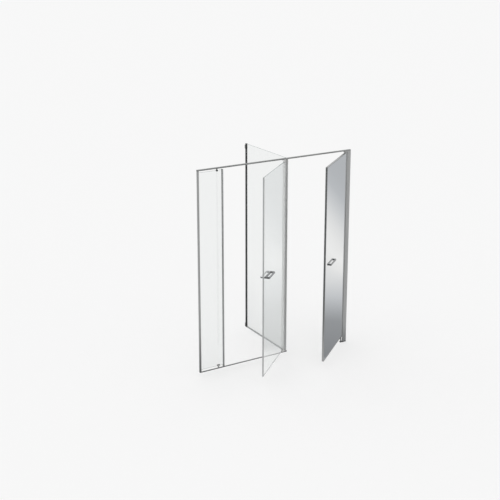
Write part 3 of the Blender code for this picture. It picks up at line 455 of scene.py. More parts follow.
SHOWER_TURN, CABINET_TURN = (math.radians(-joint["range_deg"][0]) for joint in frame["joints"])
satin_up = brushed("satin aluminium, upright", ALUMINIUM, SATIN, "z")
# the copies for the rail along the front, the head rail and the sill are darkened as painted shade
satin_across_painted_shade = brushed("satin aluminium with painted shade, along the front", RAIL_ALUMINIUM_PAINTED_SHADE, SATIN, "x")
satin_head_painted_shade = brushed("satin aluminium with painted shade, head rail", HEAD_ALUMINIUM_PAINTED_SHADE, SATIN, "x")
satin_sill_painted_shade = brushed("satin aluminium with painted shade, sill", SILL_ALUMINIUM_PAINTED_SHADE, SATIN, "x")
# the middle post's copy is paled as painted light
satin_post_painted_light = brushed("satin aluminium with painted light, middle post", POST_ALUMINIUM_PAINTED_LIGHT, SATIN, "z")
satin_cabinet = brushed("satin aluminium, along the mirror door", ALUMINIUM, SATIN, "x",
                        CABINET_TURN)
matt_up = brushed("matt aluminium, upright", ALUMINIUM, MATT, "z", metallic=0.55)
# the separator's rear channel is darkened as painted shade
upright_painted_shade = brushed("aluminium with painted shade, upright", CHANNEL_ALUMINIUM_PAINTED_SHADE, MATT, "z")
print("shower door turned", round(math.degrees(SHOWER_TURN)), "and mirror door",
      round(math.degrees(CABINET_TURN)), "degrees")

# %% [markdown]
# ## Cast metal, lacquer, chrome and stainless steel
# The right foot, the clips and their covers, the upper clamp of the fixed pane and the plate
# under the mirror door are zinc castings with a dark satin coat. Its surface is slightly pebbled,
# and paler where hands and cloths rub it, which slow noise gives. The other clamps, the pivot
# blocks and the middle post's foot are sprayed with silver, grey or black lacquer, which leaves
# a faint orange peel. The handles are polished and plated: almost no roughness, only faint
# smears from wiping. Their chrome is darker than real chrome, as painted shade, and the shower
# door's inner handle gets a pale copy of it as painted light. Screws are stainless and a little
# rougher. Pebbles and peel are about a millimetre wide, so bump shows them well enough, and no
# mesh has to be displaced.

# %% Cast metal, lacquer, chrome and stainless steel
CAST_METAL, CAST_ROUGHNESS = (0.085, 0.088, 0.088), 0.36
CAST_DULL, CAST_RUBBED = 0.40, 0.31  # roughness of the coat, and of it where it is rubbed
PEBBLE, PEBBLE_RELIEF = (0.0009, 0.0009, 0.0009), 0.00005
RUBBED, RUBBED_TONES = (0.02, 0.02, 0.03), (-0.10, 0.18)
PEEL, PEEL_RELIEF = (0.0011, 0.0011, 0.0011), 0.00003
WORN, WORN_TONES, WORN_GLOSS = (0.012, 0.012, 0.018), (-0.05, 0.05), (-0.05, 0.06)
SMEARS, SMEAR_TONES = (0.010, 0.010, 0.003), (0.0, -0.05)


def cast_metal():
    """A dark pebbled coat, paler and smoother where it is rubbed."""
    material, tree, shader = finish("dark cast metal", CAST_METAL, CAST_ROUGHNESS, metallic=0.85)
    rubbed = noise(tree, RUBBED)
    shade(tree, shader, rubbed, CAST_METAL, RUBBED_TONES)
    gloss(tree, shader, rubbed, CAST_DULL, CAST_RUBBED)
    bump(tree, shader, noise(tree, PEBBLE, detail=2.0), PEBBLE_RELIEF)
    return material


def lacquered(name, colour, roughness):
    """Sprayed lacquer: a faint orange peel, and slow changes of tone and gloss."""
    material, tree, shader = finish(name, colour, roughness, metallic=0.10)
    worn = noise(tree, WORN)
    shade(tree, shader, worn, colour, WORN_TONES)
    gloss(tree, shader, worn, *WORN_GLOSS, roughness)
    bump(tree, shader, noise(tree, PEEL, detail=2.0), PEEL_RELIEF)
    return material


def plated(name, colour, clean, smeared):
    """Polished metal with faint wiping marks, of two roughnesses."""
    material, tree, shader = finish(name, colour, clean, metallic=1.0)
    smears = noise(tree, SMEARS)
    gloss(tree, shader, smears, clean, smeared)
    shade(tree, shader, smears, colour, SMEAR_TONES)
    return material


cast = cast_metal()
silver_lacquer = lacquered("silver lacquer", colour=(0.70, 0.70, 0.695), roughness=0.34)
grey_lacquer = lacquered("grey lacquer", colour=(0.34, 0.345, 0.34), roughness=0.38)
black_lacquer = lacquered("black lacquer", colour=(0.030, 0.030, 0.031), roughness=0.40)
# the handles' chrome is darkened below real chrome as painted shade
chrome = plated("polished chrome, darkened as painted shade", colour=(0.26, 0.265, 0.27), clean=0.06, smeared=0.13)
# the shower door's inner handle: a pale copy of the chrome, as painted light
chrome_painted_light = plated("chrome with painted light, shower side", colour=(0.88, 0.885, 0.89), clean=0.07,
                     smeared=0.15)
stainless = plated("stainless steel", colour=(0.45, 0.45, 0.44), clean=0.22, smeared=0.32)
print("metals:", ", ".join(m.name for m in (cast, silver_lacquer, grey_lacquer, black_lacquer,
                                            chrome, chrome_painted_light, stainless)))

# %% [markdown]
# ## Clear glass
# The panes are 8 mm toughened glass, closed solids, so light bends on its way in and out and the
# edges show their real thickness. Float glass is nearly colourless through its face and green
# through its edge, which is ground and so scatters light. The edge is found from the surface's
# own direction: where it doesn't face as the pane does, the tint deepens and the glass turns
# milky. Lamps would leave black shadows behind glass, so rays that look for a lamp meet a pale
# transparent film instead.

# %% Clear glass
GLASS_FACE = (0.922, 0.933, 0.929)
GLASS_EDGE = (0.43, 0.505, 0.48)
GLASS_BEND = 1.52  # index of refraction
FACE_SHARE = 0.75  # a surface that faces the pane's way by less than this is an edge
EDGE_CLEARNESS = 0.30  # share of light that passes a ground edge without scattering
GLASS_SMEARS, SMEAR_BAND, SMEARED = (0.05, 0.05, 0.22), (0.45, 0.75), 0.010
SMEAR_PALER = 0.010  # share by which a smear pales the face
GLASS_SHADOW = (0.90, 0.915, 0.91)


def pane_glass(name, facing):
    """Glass for a pane that faces one way."""
    material, tree, shader = finish(name, GLASS_FACE, 0.0)
    shader.inputs["IOR"].default_value = GLASS_BEND
    own_normal = tree.nodes.new("ShaderNodeTexCoord").outputs["Normal"]
    across = maths(tree, "ABSOLUTE", reach_along(tree, own_normal, facing))
    on_face = maths(tree, "GREATER_THAN", across, FACE_SHARE)
    tree.links.new(ranged(tree, on_face, EDGE_CLEARNESS, 1.0, 0.0, 1.0),
                   shader.inputs["Transmission Weight"])
    smears = noise(tree, GLASS_SMEARS, detail=5.0)
    face = mix_colours(tree, ranged(tree, smears, 0.0, 1.0), GLASS_FACE,
                       lighter(GLASS_FACE, SMEAR_PALER))
    tree.links.new(mix_colours(tree, on_face, GLASS_EDGE, face), shader.inputs["Base Color"])
    tree.links.new(ranged(tree, smears, 0.0, SMEARED, *SMEAR_BAND), shader.inputs["Roughness"])
    film = tree.nodes.new("ShaderNodeBsdfTransparent")
    film.inputs["Color"].default_value = (*GLASS_SHADOW, 1.0)
    to_lamp = tree.nodes.new("ShaderNodeLightPath").outputs["Is Shadow Ray"]
    tree.links.new(mix_shaders(tree, to_lamp, shader.outputs[0], film.outputs[0]),
                   tree.nodes["Material Output"].inputs[0])
    return material


front_glass = pane_glass("clear glass, front", (0.0, 1.0, 0.0))
side_glass = pane_glass("clear glass, separator", (1.0, 0.0, 0.0))
door_glass = pane_glass("clear glass, shower door",
                        (-math.sin(SHOWER_TURN), math.cos(SHOWER_TURN), 0.0))
print("glass:", front_glass.name + ",", side_glass.name + ",", door_glass.name)

# %% [markdown]
# ## Mirror and board
# The leaf is a 4 mm mirror on a white faced board. A mirror is metal with next to no roughness.
# Slow noise adds the haze of wiped glass, far too weak to blur a reflection. The board has the
# fine orange peel of a pressed melamine face.

# %% Mirror and board
SILVERING, SILVERED_ROUGHNESS = (0.855, 0.86, 0.855), 0.01
HAZE, CLEAN, WIPED = (0.11, 0.11, 0.06), 0.004, 0.030  # grain of the haze, and its roughness
WHITE, WHITE_LOW, WHITE_HIGH = (0.88, 0.88, 0.86), (0.87, 0.87, 0.85), (0.90, 0.90, 0.88)
BOARD_ROUGHNESS, BOARD_LOW, BOARD_HIGH = 0.42, 0.36, 0.48
SLOW = (0.20, 0.20, 0.30)
PRESSED, PRESSED_RELIEF = (0.0014, 0.0014, 0.0014), 0.00006


def mirror_finish():
    """Silvered glass with a faint haze."""
    material, tree, shader = finish("mirror", SILVERING, SILVERED_ROUGHNESS, metallic=1.0)
    gloss(tree, shader, noise(tree, HAZE), CLEAN, WIPED)
    return material


def melamine():
    """A white pressed face with a fine orange peel."""
    material, tree, shader = finish("white melamine", WHITE, BOARD_ROUGHNESS)
    peel = noise(tree, PRESSED, detail=2.0)
    tint(tree, shader, noise(tree, SLOW), WHITE_LOW, WHITE_HIGH)
    gloss(tree, shader, peel, BOARD_LOW, BOARD_HIGH)
    bump(tree, shader, peel, PRESSED_RELIEF)
    return material


silvered, board = mirror_finish(), melamine()
print("leaf:", silvered.name, "on", board.name)

# %% [markdown]
# ## Seals, rubber and acetal
# Clear seals are soft PVC: light passes, but drawn streaks along their length blur it. The
# magnet seals are loaded with a grey core. Glazing gaskets are black rubber, dull and slightly
# dusty. Bearings are white acetal, smooth with a waxy sheen. The opaque ones differ only in
# colour, gloss and grain, so one function makes them all.

# %% Seals, rubber and acetal
CLEAR_PVC = (0.97, 0.98, 0.975)
PVC_LOW, PVC_HIGH = (0.94, 0.95, 0.945), (1.0, 1.0, 1.0)
PVC_CLEARNESS, PVC_BEND = 0.97, 1.30  # transmission and index of refraction
PVC_ROUGHNESS, PVC_SMOOTH, PVC_STREAKED = 0.10, 0.05, 0.16
DRAWN = (0.0012, 0.0012, 0.15)
DUST, DUST_TONES, DUST_GLOSS = (0.03, 0.03, 0.08), (-0.08, 0.12), (-0.06, 0.06)


def clear_pvc():
    """Clear soft plastic, blurred by the streaks of its drawing."""
    material, tree, shader = finish("clear PVC seal", CLEAR_PVC, PVC_ROUGHNESS)
    shader.inputs["Transmission Weight"].default_value = PVC_CLEARNESS
    shader.inputs["IOR"].default_value = PVC_BEND
    drawn = noise(tree, DRAWN)
    gloss(tree, shader, drawn, PVC_SMOOTH, PVC_STREAKED)
    tint(tree, shader, drawn, PVC_LOW, PVC_HIGH)
    return material


def soft(name, colour, roughness, grain, relief):
    """An opaque soft plastic or rubber with a fine grain and slow changes of tone."""
    material, tree, shader = finish(name, colour, roughness)
    dust = noise(tree, DUST)
    shade(tree, shader, dust, colour, DUST_TONES)
    gloss(tree, shader, dust, *DUST_GLOSS, roughness)
    bump(tree, shader, noise(tree, (grain, grain, grain), detail=2.0), relief)
    return material


pvc = clear_pvc()
grey_seal = soft("grey magnet seal", (0.36, 0.37, 0.37), 0.42, grain=0.0010, relief=0.00003)
rubber = soft("black glazing rubber", (0.025, 0.026, 0.026), 0.62, grain=0.0007, relief=0.00006)
acetal = soft("white acetal", (0.76, 0.76, 0.74), 0.32, grain=0.0012, relief=0.00002)
print("soft finishes:", ", ".join(m.name for m in (pvc, grey_seal, rubber, acetal)))

# %% [markdown]
# ## Which node has which finish
# The record names a material slot for each node, and most nodes take the finish of their slot.
# The ones that are listed by name differ from it in tone or coat, or in the direction of their
# streaks or of their face. A node keeps its mesh, and only its material slots are filled anew.

# %% Dress the CAD nodes
SLOT_FINISH = {"satin_aluminium": satin_up, "dark_metal": cast, "chrome": chrome,
               "clear_glass": front_glass, "mirror": silvered,
               "white_board": board, "clear_seal": pvc, "grey_seal": grey_seal,
               "black_rubber": rubber, "acetal": acetal}
# the rails, the sill, the middle post, the separator's rear channel and the inner shower handle
# take copies of a finish with painted shade or painted light
NODE_FINISH = {"top_rail_shower": satin_head_painted_shade, "top_rail_cabinet": satin_across_painted_shade,
               "threshold_rail": satin_sill_painted_shade, "mid_post": satin_post_painted_light,
               "separator_wall_channel": upright_painted_shade, "shower_handle_inner": chrome_painted_light,
               "right_hinge_post": matt_up, "right_wall_channel": matt_up,
               "shower_pivot_block_top": silver_lacquer, "mid_post_foot": black_lacquer,
               "shower_pivot_block_bottom": silver_lacquer, "fixed_clamp_bottom": grey_lacquer,
               "shower_door_clamp_top": silver_lacquer, "fixed_clamp_pin_bottom": grey_lacquer,
               "shower_door_clamp_bottom": silver_lacquer, "cabinet_pivot_block_top": grey_lacquer,
               "cabinet_pivot_plate_top": satin_cabinet,
               "cabinet_rail_top": satin_cabinet, "cabinet_rail_bottom": satin_cabinet,
               "separator_glass": side_glass, "shower_door_glass": door_glass,
               "shower_handle_bolt_near": stainless, "shower_handle_bolt_far": stainless,
               "cabinet_handle_bolt_near": stainless, "cabinet_handle_bolt_far": stainless,
               "shower_door_pin_top": stainless, "shower_door_pin_bottom": stainless}


def dress_nodes():
    """Gives every node its finish. Returns how many there are."""
    slots = {row["node"]: row["material_slot"] for row in frame["record"]["subparts"]}
    for name, node in nodes.items():
        node.data.materials.clear()
        node.data.materials.append(NODE_FINISH.get(name, SLOT_FINISH[slots[name]]))
    return len(slots)


print("dressed nodes:", dress_nodes())

# %% [markdown]
# ## Softened edges
# No cast or machined part leaves the shop with a razor edge. The fittings get a fine bevel,
# which catches a line of light. Modifiers make it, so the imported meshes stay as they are. These
# have a vertex of their own for each side of an edge, so the vertices are welded first.

# %% Softened edges
SOFTENED = {"mid_post_connector": 0.0006, "shower_pivot_block_top": 0.0005,
            "shower_pivot_block_bottom": 0.0005, "cabinet_pivot_block_top": 0.0005,
            "cabinet_pivot_plate_top": 0.0004, "cabinet_pivot_plate_bottom": 0.0004,
            "mid_post_foot": 0.0006, "right_post_foot": 0.0010}  # width of each bevel
WELD_REACH = 0.00001
BEVEL_ANGLE = math.radians(40.0)  # edges sharper than this are softened


def soften(node, width):
    """Welds a node's mesh and bevels its sharp edges."""
    weld = node.modifiers.new("weld", "WELD")
    weld.merge_threshold = WELD_REACH
    bevel = node.modifiers.new("soft edge", "BEVEL")
    bevel.width = width
    bevel.segments = 2
    bevel.limit_method = "ANGLE"
    bevel.angle_limit = BEVEL_ANGLE
    bevel.harden_normals = True


for name, width in SOFTENED.items():
    soften(nodes[name], width)
print("softened:", ", ".join(SOFTENED))

# %% [markdown]
# ## Small parts: where they go
# A screw or a liner is placed from the solid that it belongs to, so that nothing is measured
# twice. Doors are awkward, since they stand open at an angle. Their small parts are therefore
# placed on the closed door, where the leaf lies along x and the hinge is the origin, and are
# then swung open with it.

# %% Where small parts go
SHARP_ANGLE = math.radians(35.0)  # edges sharper than this stay sharp

HINGED = {"frame": Matrix()}
for joint in frame["joints"]:
    hinge_x, hinge_y, _ = joint["pos_m"]
    HINGED[joint["child"]] = (Matrix.Translation((hinge_x, hinge_y, 0.0))
                              @ Matrix.Rotation(math.radians(-joint["range_deg"][0]), 4, "Z"))


def span(name):
    """A node's lowest and highest corner, on the closed door if a door carries it."""
    node = nodes[name]
    into = HINGED[node["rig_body"]].inverted() @ node.matrix_world
    corners = [into @ vertex.co for vertex in node.data.vertices]
    return (Vector([min(values) for values in zip(*corners)]),
            Vector([max(values) for values in zip(*corners)]))


def spot(name, anchor, offset=(0.0, 0.0, 0.0)):
    """A point of a node's box: its low side, middle or high side on each axis, and an offset."""
    low, high = span(name)
    return Vector([(a + b) / 2 + side * (b - a) / 2 + more
                   for a, b, side, more in zip(low, high, anchor, offset)])


def add_piece(name, shape, material, body, at=(0.0, 0.0, 0.0), facing=None):
    """Places a shape, with its own z along a direction if one is given, to ride with a body."""
    mesh = bpy.data.meshes.new(name)
    shape.to_mesh(mesh)
    shape.free()
    mesh.shade_smooth()
    mesh.set_sharp_from_angle(angle=SHARP_ANGLE)
    mesh.materials.append(material)
    piece = bpy.data.objects.new(name, mesh)
    bpy.context.scene.collection.objects.link(piece)
    turned = Vector(facing).to_track_quat("Z", "Y").to_matrix().to_4x4() if facing else Matrix()
    piece.matrix_world = HINGED[body] @ Matrix.Translation(at) @ turned
    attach(piece, body)
    return piece


print("small parts can go on:", ", ".join(HINGED))

# %% [markdown]
# ## Small parts: shapes
# Small turned and moulded parts could be cut from cylinders and boxes with booleans, but these
# leave ragged meshes at such sizes. Here every shape is a closed skin over a stack of rings with
# equally many points. A circle, a hexagon and a rounded rectangle all have 24 points, so one can
# pass into another: a round screw head turns into its hexagonal socket, and a rectangular cap
# gets a round mark.

# %% Shapes for small parts
SIDES = 24
QUARTER = SIDES // 4


def circle(radius):
    """The points of a circle round the origin."""
    angles = [2 * math.pi * side / SIDES for side in range(SIDES)]
    return [(radius * math.cos(angle), radius * math.sin(angle)) for angle in angles]


def hexagon(half_width):
    """A hexagon, by half of its width across the flats."""
    sector = math.pi / 3
    points = []
    for x, y in circle(half_width):
        stretch = 1.0 / math.cos(math.atan2(y, x) % sector - sector / 2)
        points.append((x * stretch, y * stretch))
    return points


def rounded(width, depth, radius):
    """A rectangle with rounded corners, centred on the origin."""
    points = []
    for quarter, (right, back) in enumerate(((1, 1), (-1, 1), (-1, -1), (1, -1))):
        for step in range(QUARTER):
            angle = (quarter + step / (QUARTER - 1)) * math.pi / 2
            points.append((right * (width / 2 - radius) + radius * math.cos(angle),
                           back * (depth / 2 - radius) + radius * math.sin(angle)))
    return points


def skin(rings, closed=False):
    """A skin over rings of points. It is capped at both ends, or closed on itself."""
    shape = bmesh.new()
    rows = [[shape.verts.new(point) for point in ring] for ring in rings]
    pairs = list(zip(rows, rows[1:])) + ([(rows[-1], rows[0])] if closed else [])
    for below, above in pairs:
        for side in range(len(below)):
            after = (side + 1) % len(below)
            shape.faces.new((below[side], below[after], above[after], above[side]))
    if not closed:
        shape.faces.new(rows[0][::-1])
        shape.faces.new(rows[-1])
    bmesh.ops.recalc_face_normals(shape, faces=shape.faces)
    return shape


def stacked(*levels, closed=False):
    """A skin over outlines at given heights."""
    return skin([[(x, y, height) for x, y in outline] for outline, height in levels], closed)


def slab(width, depth, radius, thickness, edge):
    """A plate whose rim has a small chamfer at both faces."""
    full = rounded(width, depth, radius)
    inner = rounded(width - 2 * edge, depth - 2 * edge, radius - edge / 2)
    return stacked((inner, 0.0), (full, edge), (full, thickness - edge), (inner, thickness))


print("shapes have", SIDES, "points round")

# %% [markdown]
# ## Screw heads
# The heads are low domes with a hexagonal socket. Those that hold the frame in its niche also
# have a flange, which spreads the load on thin aluminium. Grub screws sit nearly flush. A head
# is turned on a lathe, so its outline is a few rings, given as shares of its radius and height.

# %% Screw heads
SUNK = 0.0002  # depth of a head's foot in the face under it
SOCKET, SOCKET_FLOOR = 0.46, 0.93  # share of the head's radius, and of the socket's own
FLANGE = 1.55  # share of the head's radius
BUTTON = ((1.0, 0.30), (0.90, 0.72), (0.66, 1.0)), 0.25  # outline, and the socket's floor
FLANGED = ((FLANGE, 0.22), (0.95 * FLANGE, 0.34), (1.0, 0.36), (1.0, 0.60), (0.88, 0.86),
           (0.66, 1.0)), 0.45
KINDS = {"small": (BUTTON, 0.0024, 0.0012), "clamp": (BUTTON, 0.0029, 0.0014),
         "grub": (BUTTON, 0.0019, 0.0004), "wall": (FLANGED, 0.0026, 0.0019),
         "cover": (FLANGED, 0.0042, 0.0024)}  # form, radius and height


def screw_head(kind):
    """A head of one kind, from its foot up to its rim and down into its socket."""
    (outline, floor_share), radius, height = KINDS[kind]
    foot, socket = outline[0][0] * radius, SOCKET * radius
    return stacked((circle(foot), -SUNK),
                   *((circle(wide * radius), high * height) for wide, high in outline),
                   (hexagon(socket), height),
                   (hexagon(SOCKET_FLOOR * socket), floor_share * height))


print("kinds of screw:", ", ".join(KINDS))

# %% [markdown]
# ## Where the screws go
# Each row of the table names a solid, the way the head faces, a point of the solid's box, how
# far the screw lies from that point, and the kind of screw. The three channels that hold the
# frame in its niche get theirs in a loop, three to a channel.

# %% Screws
FRONT, BACK, LEFT, RIGHT = (0, -1, 0), (0, 1, 0), (-1, 0, 0), (1, 0, 0)
UP, DOWN = (0, 0, 1), (0, 0, -1)
WALL_SCREW_LEVELS = (-0.80, 0.0, 0.80)  # from the middle of the channel
SCREWS = (
    ("shower_pivot_block_top", DOWN, DOWN, (-0.0125, 0, 0), "small"),
    ("shower_pivot_block_top", DOWN, DOWN, (0.0154, 0, 0), "small"),
    ("shower_pivot_block_top", FRONT, FRONT, (-0.0115, 0, 0), "grub"),
    ("shower_pivot_block_bottom", UP, UP, (-0.0125, 0, 0), "small"),
    ("shower_pivot_block_bottom", UP, UP, (0.0154, 0, 0), "small"),
    ("shower_pivot_block_bottom", FRONT, FRONT, (-0.0115, 0, 0), "grub"),
    ("cabinet_pivot_block_top", DOWN, DOWN, (-0.0139, 0, 0), "grub"),
    ("cabinet_pivot_block_top", DOWN, DOWN, (0.0137, 0, 0), "grub"),
    ("cabinet_pivot_block_top", FRONT, FRONT, (0.0115, 0, 0), "grub"),
    ("mid_post_foot", UP, UP, (0.0129, 0, 0), "small"),
    ("right_post_foot", UP, UP, (-0.0106, 0, 0), "clamp"),
    ("top_rail_shower", DOWN, (1, 0, -1), (-0.0095, 0, 0), "grub"),
    ("top_rail_cabinet", DOWN, (-1, 0, -1), (0.0095, 0, 0), "grub"),
    ("top_rail_shower", BACK, (-1, 1, 0), (0.016, 0, 0), "small"),
    ("top_rail_cabinet", BACK, (1, 1, 0), (-0.016, 0, 0), "small"),
    ("fixed_clamp_bottom", BACK, BACK, (-0.009, 0, 0.001), "clamp"),
    ("fixed_clamp_bottom", BACK, BACK, (0.009, 0, 0.001), "clamp"),
    ("fixed_clamp_top", BACK, BACK, (0, 0, -0.001), "clamp"),
    ("shower_door_clamp_bottom", BACK, (1, 1, 1), (-0.0075, 0, -0.0062), "clamp"),
    ("shower_door_clamp_bottom", BACK, (-1, 1, 1), (0.0075, 0, -0.0062), "clamp"),
    ("shower_door_clamp_top", BACK, (1, 1, -1), (-0.0075, 0, 0.0062), "clamp"),
    ("shower_door_clamp_top", BACK, (-1, 1, -1), (0.0075, 0, 0.0062), "clamp"),
    ("cabinet_pivot_plate_bottom", DOWN, (-1, 0, -1), (0.006, 0, 0), "small"),
    ("cabinet_pivot_plate_bottom", DOWN, (-1, 0, -1), (0.017, 0, 0), "small"),
    ("cabinet_pivot_plate_top", UP, (-1, 0, -1), (0.006, 0, 0.004), "small"),
    ("cabinet_pivot_plate_top", UP, (-1, 0, -1), (0.017, 0, 0.004), "small"),
    ("cabinet_stile_free", LEFT, (-1, 0, -1), (0, 0, 0.0095), "grub"),
    ("cabinet_stile_free", LEFT, (-1, 0, 1), (0, 0, -0.0095), "grub"),
    ("cabinet_stile_hinge", RIGHT, (1, 0, -1), (0, 0, 0.0095), "grub"),
    ("cabinet_stile_hinge", RIGHT, (1, 0, 1), (0, 0, -0.0095), "grub"),
    *((node, face, face, (offset, 0, level), "wall") for level in WALL_SCREW_LEVELS
      for node, face, offset in (("left_wall_channel", BACK, 0.0),
                                 ("right_wall_channel", BACK, -0.003),
                                 ("separator_wall_channel", LEFT, 0.0))),
)


def screws():
    """Puts every screw of the table in place."""
    for count, (node, facing, anchor, offset, kind) in enumerate(SCREWS, 1):
        add_piece(f"{kind}_screw_{count:02d}_{node}", screw_head(kind), stainless,
                  nodes[node]["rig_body"], spot(node, anchor, offset), facing)
    return len(SCREWS)


print("screws:", screws())

# %% [markdown]
# ## Sockets of the handle bolts, and a lock nut
# The bolts of both handles end in a round head, which gets its socket here. The stub on the
# right foot can be raised a little to level the mirror door, and a thin nut locks it.

# %% Bolt sockets and lock nut
NUT_HALF_WIDTH, NUT_HEIGHT, NUT_BORE = 0.0083, 0.0042, 0.0067
NUT_FLATS = 0.8  # share of its height below the chamfer
SOCKET_LEVELS = ((circle(0.0044), -0.0001), (circle(0.0044), 0.0002), (circle(0.0040), 0.0004),
                 (hexagon(0.0022), 0.0004), (hexagon(0.0021), 0.0001))  # outlines and heights


def lock_nut():
    """A thin hexagonal nut round the foot of the stub."""
    bore, rim = circle(NUT_BORE), circle(NUT_HALF_WIDTH)
    shape = stacked((bore, 0.0), (hexagon(NUT_HALF_WIDTH), 0.0),
                    (hexagon(NUT_HALF_WIDTH), NUT_FLATS * NUT_HEIGHT), (rim, NUT_HEIGHT),
                    (bore, NUT_HEIGHT), closed=True)
    return add_piece("lock_nut_right_foot", shape, stainless, "frame",
                     spot("cabinet_pivot_post", DOWN), UP)


for bolt in ("shower_handle_bolt_near", "shower_handle_bolt_far", "cabinet_handle_bolt_near",
             "cabinet_handle_bolt_far"):
    add_piece("socket_" + bolt, stacked(*SOCKET_LEVELS), stainless,
              nodes[bolt]["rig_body"], spot(bolt, BACK), BACK)
print("bolt sockets, and", lock_nut().name)

# %% [markdown]
# ## Liners and pads
# Metal never touches glass. A thin black liner stands between each clamp and its pane, and a pad
# lies under each handle. They show as a fine dark line round the metal. The line could be painted
# on the glass, but a plate a quarter of a millimetre thick also shows from the side.

# %% Liners and pads
LINER, LINER_PROUD = 0.00026, 0.0008  # thickness, and how far it stands out round the metal
LINER_CORNER, LINER_CHAMFER = 0.0016, 0.00006
SLIP = 0.00002  # keeps a piece clear of the face that it lies on
CLAMPS = (("shower_door_clamp_bottom", "shower_door_glass"),
          ("shower_door_clamp_top", "shower_door_glass"),
          ("fixed_clamp_bottom", "fixed_glass"), ("fixed_clamp_top", "fixed_glass"))
HANDLES = (("shower_handle_outer", "shower_door_glass", -1),
           ("shower_handle_inner", "shower_door_glass", 1),
           ("cabinet_handle", "cabinet_mirror", -1))


def liner(name, metal, pane, side):
    """A thin plate on a pane's front or back, a little larger than the metal over it."""
    low, high = span(metal)
    pane_low, pane_high = span(pane)
    left, bottom = (max(low[axis] - LINER_PROUD, pane_low[axis]) for axis in (0, 2))
    right, top = (min(high[axis] + LINER_PROUD, pane_high[axis]) for axis in (0, 2))
    face = (pane_high.y + SLIP) if side > 0 else (pane_low.y - SLIP)
    shape = slab(right - left, top - bottom, LINER_CORNER, LINER, LINER_CHAMFER)
    return add_piece(name, shape, rubber, nodes[pane]["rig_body"],
                     ((left + right) / 2, face, (bottom + top) / 2), (0, side, 0))


for metal, pane in CLAMPS:
    liner("liner_inside_" + metal, metal, pane, 1)
    liner("liner_outside_" + metal, metal, pane, -1)
for metal, pane, side in HANDLES:
    liner("pad_" + metal, metal, pane, side)
print("liners:", 2 * len(CLAMPS), "pads:", len(HANDLES))

# %% [markdown]
# ## Caps and plugs
# Sawn ends of profiles are covered. The closing profile and the separator's rear channel get a
# cap with a chamfered rim. The hollow rails get a plug with a hexagonal socket, flush with their
# outer ends.

# %% Caps and plugs
CAP, PLUG = 0.0016, 0.0016  # thickness of a cap, and depth of a plug
CAP_CORNER, CAP_CHAMFER = 0.0020, 0.0005
CROWN_INSET, CROWN_CORNER = 0.0012, 0.0016
MARK, MARK_FLOOR, MARK_DEPTH = 0.0026, 0.0022, 0.0004  # radii and depth of a cap's round mark
PLUG_CORNER, RIM_INSET, RIM_CORNER, RIM_DEPTH = 0.0008, 0.0006, 0.0006, 0.0002
PLUG_SOCKET, PLUG_SOCKET_FLOOR, PLUG_SOCKET_DEPTH = 0.0020, 0.0018, 0.0010
RAIL_WALL = 0.0018  # the rail's own thickness, and a little play


def cap_on(name, profile, proud):
    """A chamfered cap with a shallow round mark, on the upper end of a profile."""
    low, high = span(profile)
    width, depth = high.x - low.x + 2 * proud, high.y - low.y + 2 * proud
    full = rounded(width, depth, CAP_CORNER)
    crown = rounded(width - CROWN_INSET, depth - CROWN_INSET, CROWN_CORNER)
    shape = stacked((full, SLIP), (full, CAP - CAP_CHAMFER), (crown, CAP),
                    (circle(MARK), CAP), (circle(MARK_FLOOR), CAP - MARK_DEPTH))
    return add_piece(name, shape, plastic, "frame", spot(profile, UP), UP)


def plug_in(name, rail, face):
    """A plug in the open end of a hollow rail, with a socket in its middle."""
    low, high = span(rail)
    width, depth = high.y - low.y - 2 * RAIL_WALL, high.z - low.z - 2 * RAIL_WALL
    full = rounded(width, depth, PLUG_CORNER)
    rim = rounded(width - RIM_INSET, depth - RIM_INSET, RIM_CORNER)
    shape = stacked((full, -PLUG), (full, -RIM_DEPTH), (rim, 0.0), (hexagon(PLUG_SOCKET), 0.0),
                    (hexagon(PLUG_SOCKET_FLOOR), -PLUG_SOCKET_DEPTH))
    return add_piece(name, shape, plastic, "frame", spot(rail, face), face)


plastic = soft("black plastic", (0.045, 0.046, 0.047), 0.40, grain=0.0012, relief=0.00003)
caps = (cap_on("cap_closing_profile", "closing_profile", proud=0.0002),
        cap_on("cap_separator_channel", "separator_wall_channel", proud=0.0003),
        plug_in("plug_top_rail_left", "top_rail_shower", LEFT),
        plug_in("plug_top_rail_right", "top_rail_cabinet", RIGHT))
print("caps and plugs:", ", ".join(piece.name for piece in caps))

# %% [markdown]
# ## Covers over the separator's clips
# The separator's rear channel is held by a clip at each end. A hollow cast cover with a rounded
# rim hides the clip, and a flanged screw in its middle shows as a bright dot in the dark metal.

# %% Covers over the separator's clips
COVER_WIDTH, COVER_DEPTH, COVER_WALL = 0.021, 0.0082, 0.0016
COVER_MARGIN = 0.004  # past the clip at both ends
COVER_LEVELS = ((0.004, 0.0075, COVER_DEPTH - COVER_WALL), (0.004, 0.0075, 0.0),
                (0.0, 0.0095, 0.0), (0.0, 0.0095, 0.55 * COVER_DEPTH),
                (0.0016, 0.0087, 0.82 * COVER_DEPTH),
                (0.006, 0.0065, COVER_DEPTH))  # inset, corner radius and height, from the hollow


def clip_cover(clip):
    """A hollow cover over a clip, with a screw in its middle."""
    low, high = span(clip)
    height = high.z - low.z + 2 * COVER_MARGIN
    shape = stacked(*((rounded(COVER_WIDTH - inset, height - inset, corner), level)
                      for inset, corner, level in COVER_LEVELS))
    foot = spot("separator_wall_channel", LEFT, (-SLIP, 0, 0))
    foot.z = (low.z + high.z) / 2
    add_piece("cover_" + clip, shape, cast, "frame", foot, LEFT)
    return add_piece("cover_screw_" + clip, screw_head("cover"), stainless, "frame",
                     foot + COVER_DEPTH * Vector(LEFT), LEFT)


print("covers with", ", ".join(clip_cover(clip).name
                             for clip in ("separator_clip_top", "separator_clip_bottom")))

# %% [markdown]
# ## Glazing beads and magnet inserts
# A soft bead closes the joint between the mirror and its edge profiles, mitred at the corners,
# and another does so at the back. Four straight strips would overlap in the corners, so each
# bead is one skin that runs round the leaf and closes on itself. The shower door is held shut by
# a pair of magnets, which show as an insert along its own seal and along the strip that it
# closes against.

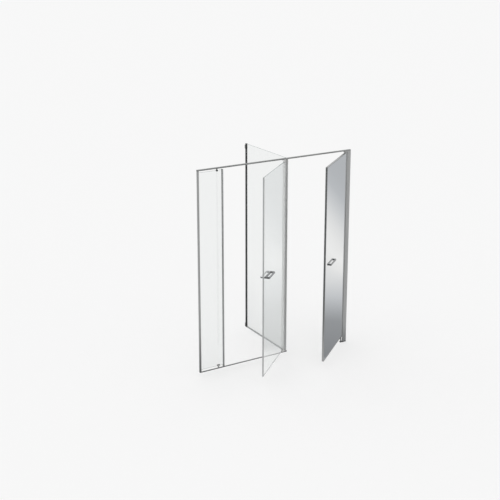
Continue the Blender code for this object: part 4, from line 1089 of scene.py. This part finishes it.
# %% Glazing beads and magnet inserts
BEAD = ((0.00003, 0.00003), (0.00125, 0.00003), (0.00115, 0.0005), (0.0006, 0.0010),
        (0.00003, 0.0012))  # inward from the profile, and out from the pane
MAGNET_WIDTH, MAGNET, MAGNET_INSET = 0.0046, 0.0003, 0.002
MAGNET_CORNER, MAGNET_CHAMFER = 0.0008, 0.0001


def bead(name, face, side):
    """A mitred bead along the inside of the mirror door's four edge profiles."""
    left, right = span("cabinet_stile_free")[1].x, span("cabinet_stile_hinge")[0].x
    bottom, top = span("cabinet_rail_bottom")[1].z, span("cabinet_rail_top")[0].z
    corners = ((left, bottom, 1, 1), (right, bottom, -1, 1), (right, top, -1, -1),
               (left, top, 1, -1))
    rings = [[(x + across * inward, face + side * out, z + upward * inward)
              for inward, out in BEAD] for x, z, across, upward in corners]
    return add_piece(name, skin(rings, closed=True), grey_seal, "cabinet_door")


def magnet(name, seal, face):
    """A flat insert along a seal, on the face that meets the other magnet."""
    low, high = span(seal)
    shape = slab(MAGNET_WIDTH, high.z - low.z - 2 * MAGNET_INSET, MAGNET_CORNER, MAGNET,
                 MAGNET_CHAMFER)
    return add_piece(name, shape, grey_seal, nodes[seal]["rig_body"],
                     spot(seal, face), face)


strips = (bead("bead_mirror_front", span("cabinet_mirror")[0].y, -1),
          bead("bead_board_back", span("cabinet_back_board")[1].y, 1),
          magnet("magnet_closing_profile", "closing_magnet_strip", RIGHT),
          magnet("magnet_shower_door", "shower_door_magnet_seal", LEFT))
print("beads and inserts:", ", ".join(piece.name for piece in strips))

# %% [markdown]
# ## What the mirror shows
# In the picture the mirror shows one smooth gradient, with no second handle and no second post
# beside the hinge. The handle on the mirror and the profiles beside it are therefore kept out of
# reflections. Every object has a switch for each kind of ray, so they stay visible directly and
# through glass.

# %% What the mirror shows
UNREFLECTED = ("cabinet_handle", "right_hinge_post", "right_wall_channel", "right_post_lip_seal")

for name in UNREFLECTED:
    nodes[name].visible_glossy = False
bpy.data.objects["pad_cabinet_handle"].visible_glossy = False
print("kept out of reflections:", ", ".join(UNREFLECTED))
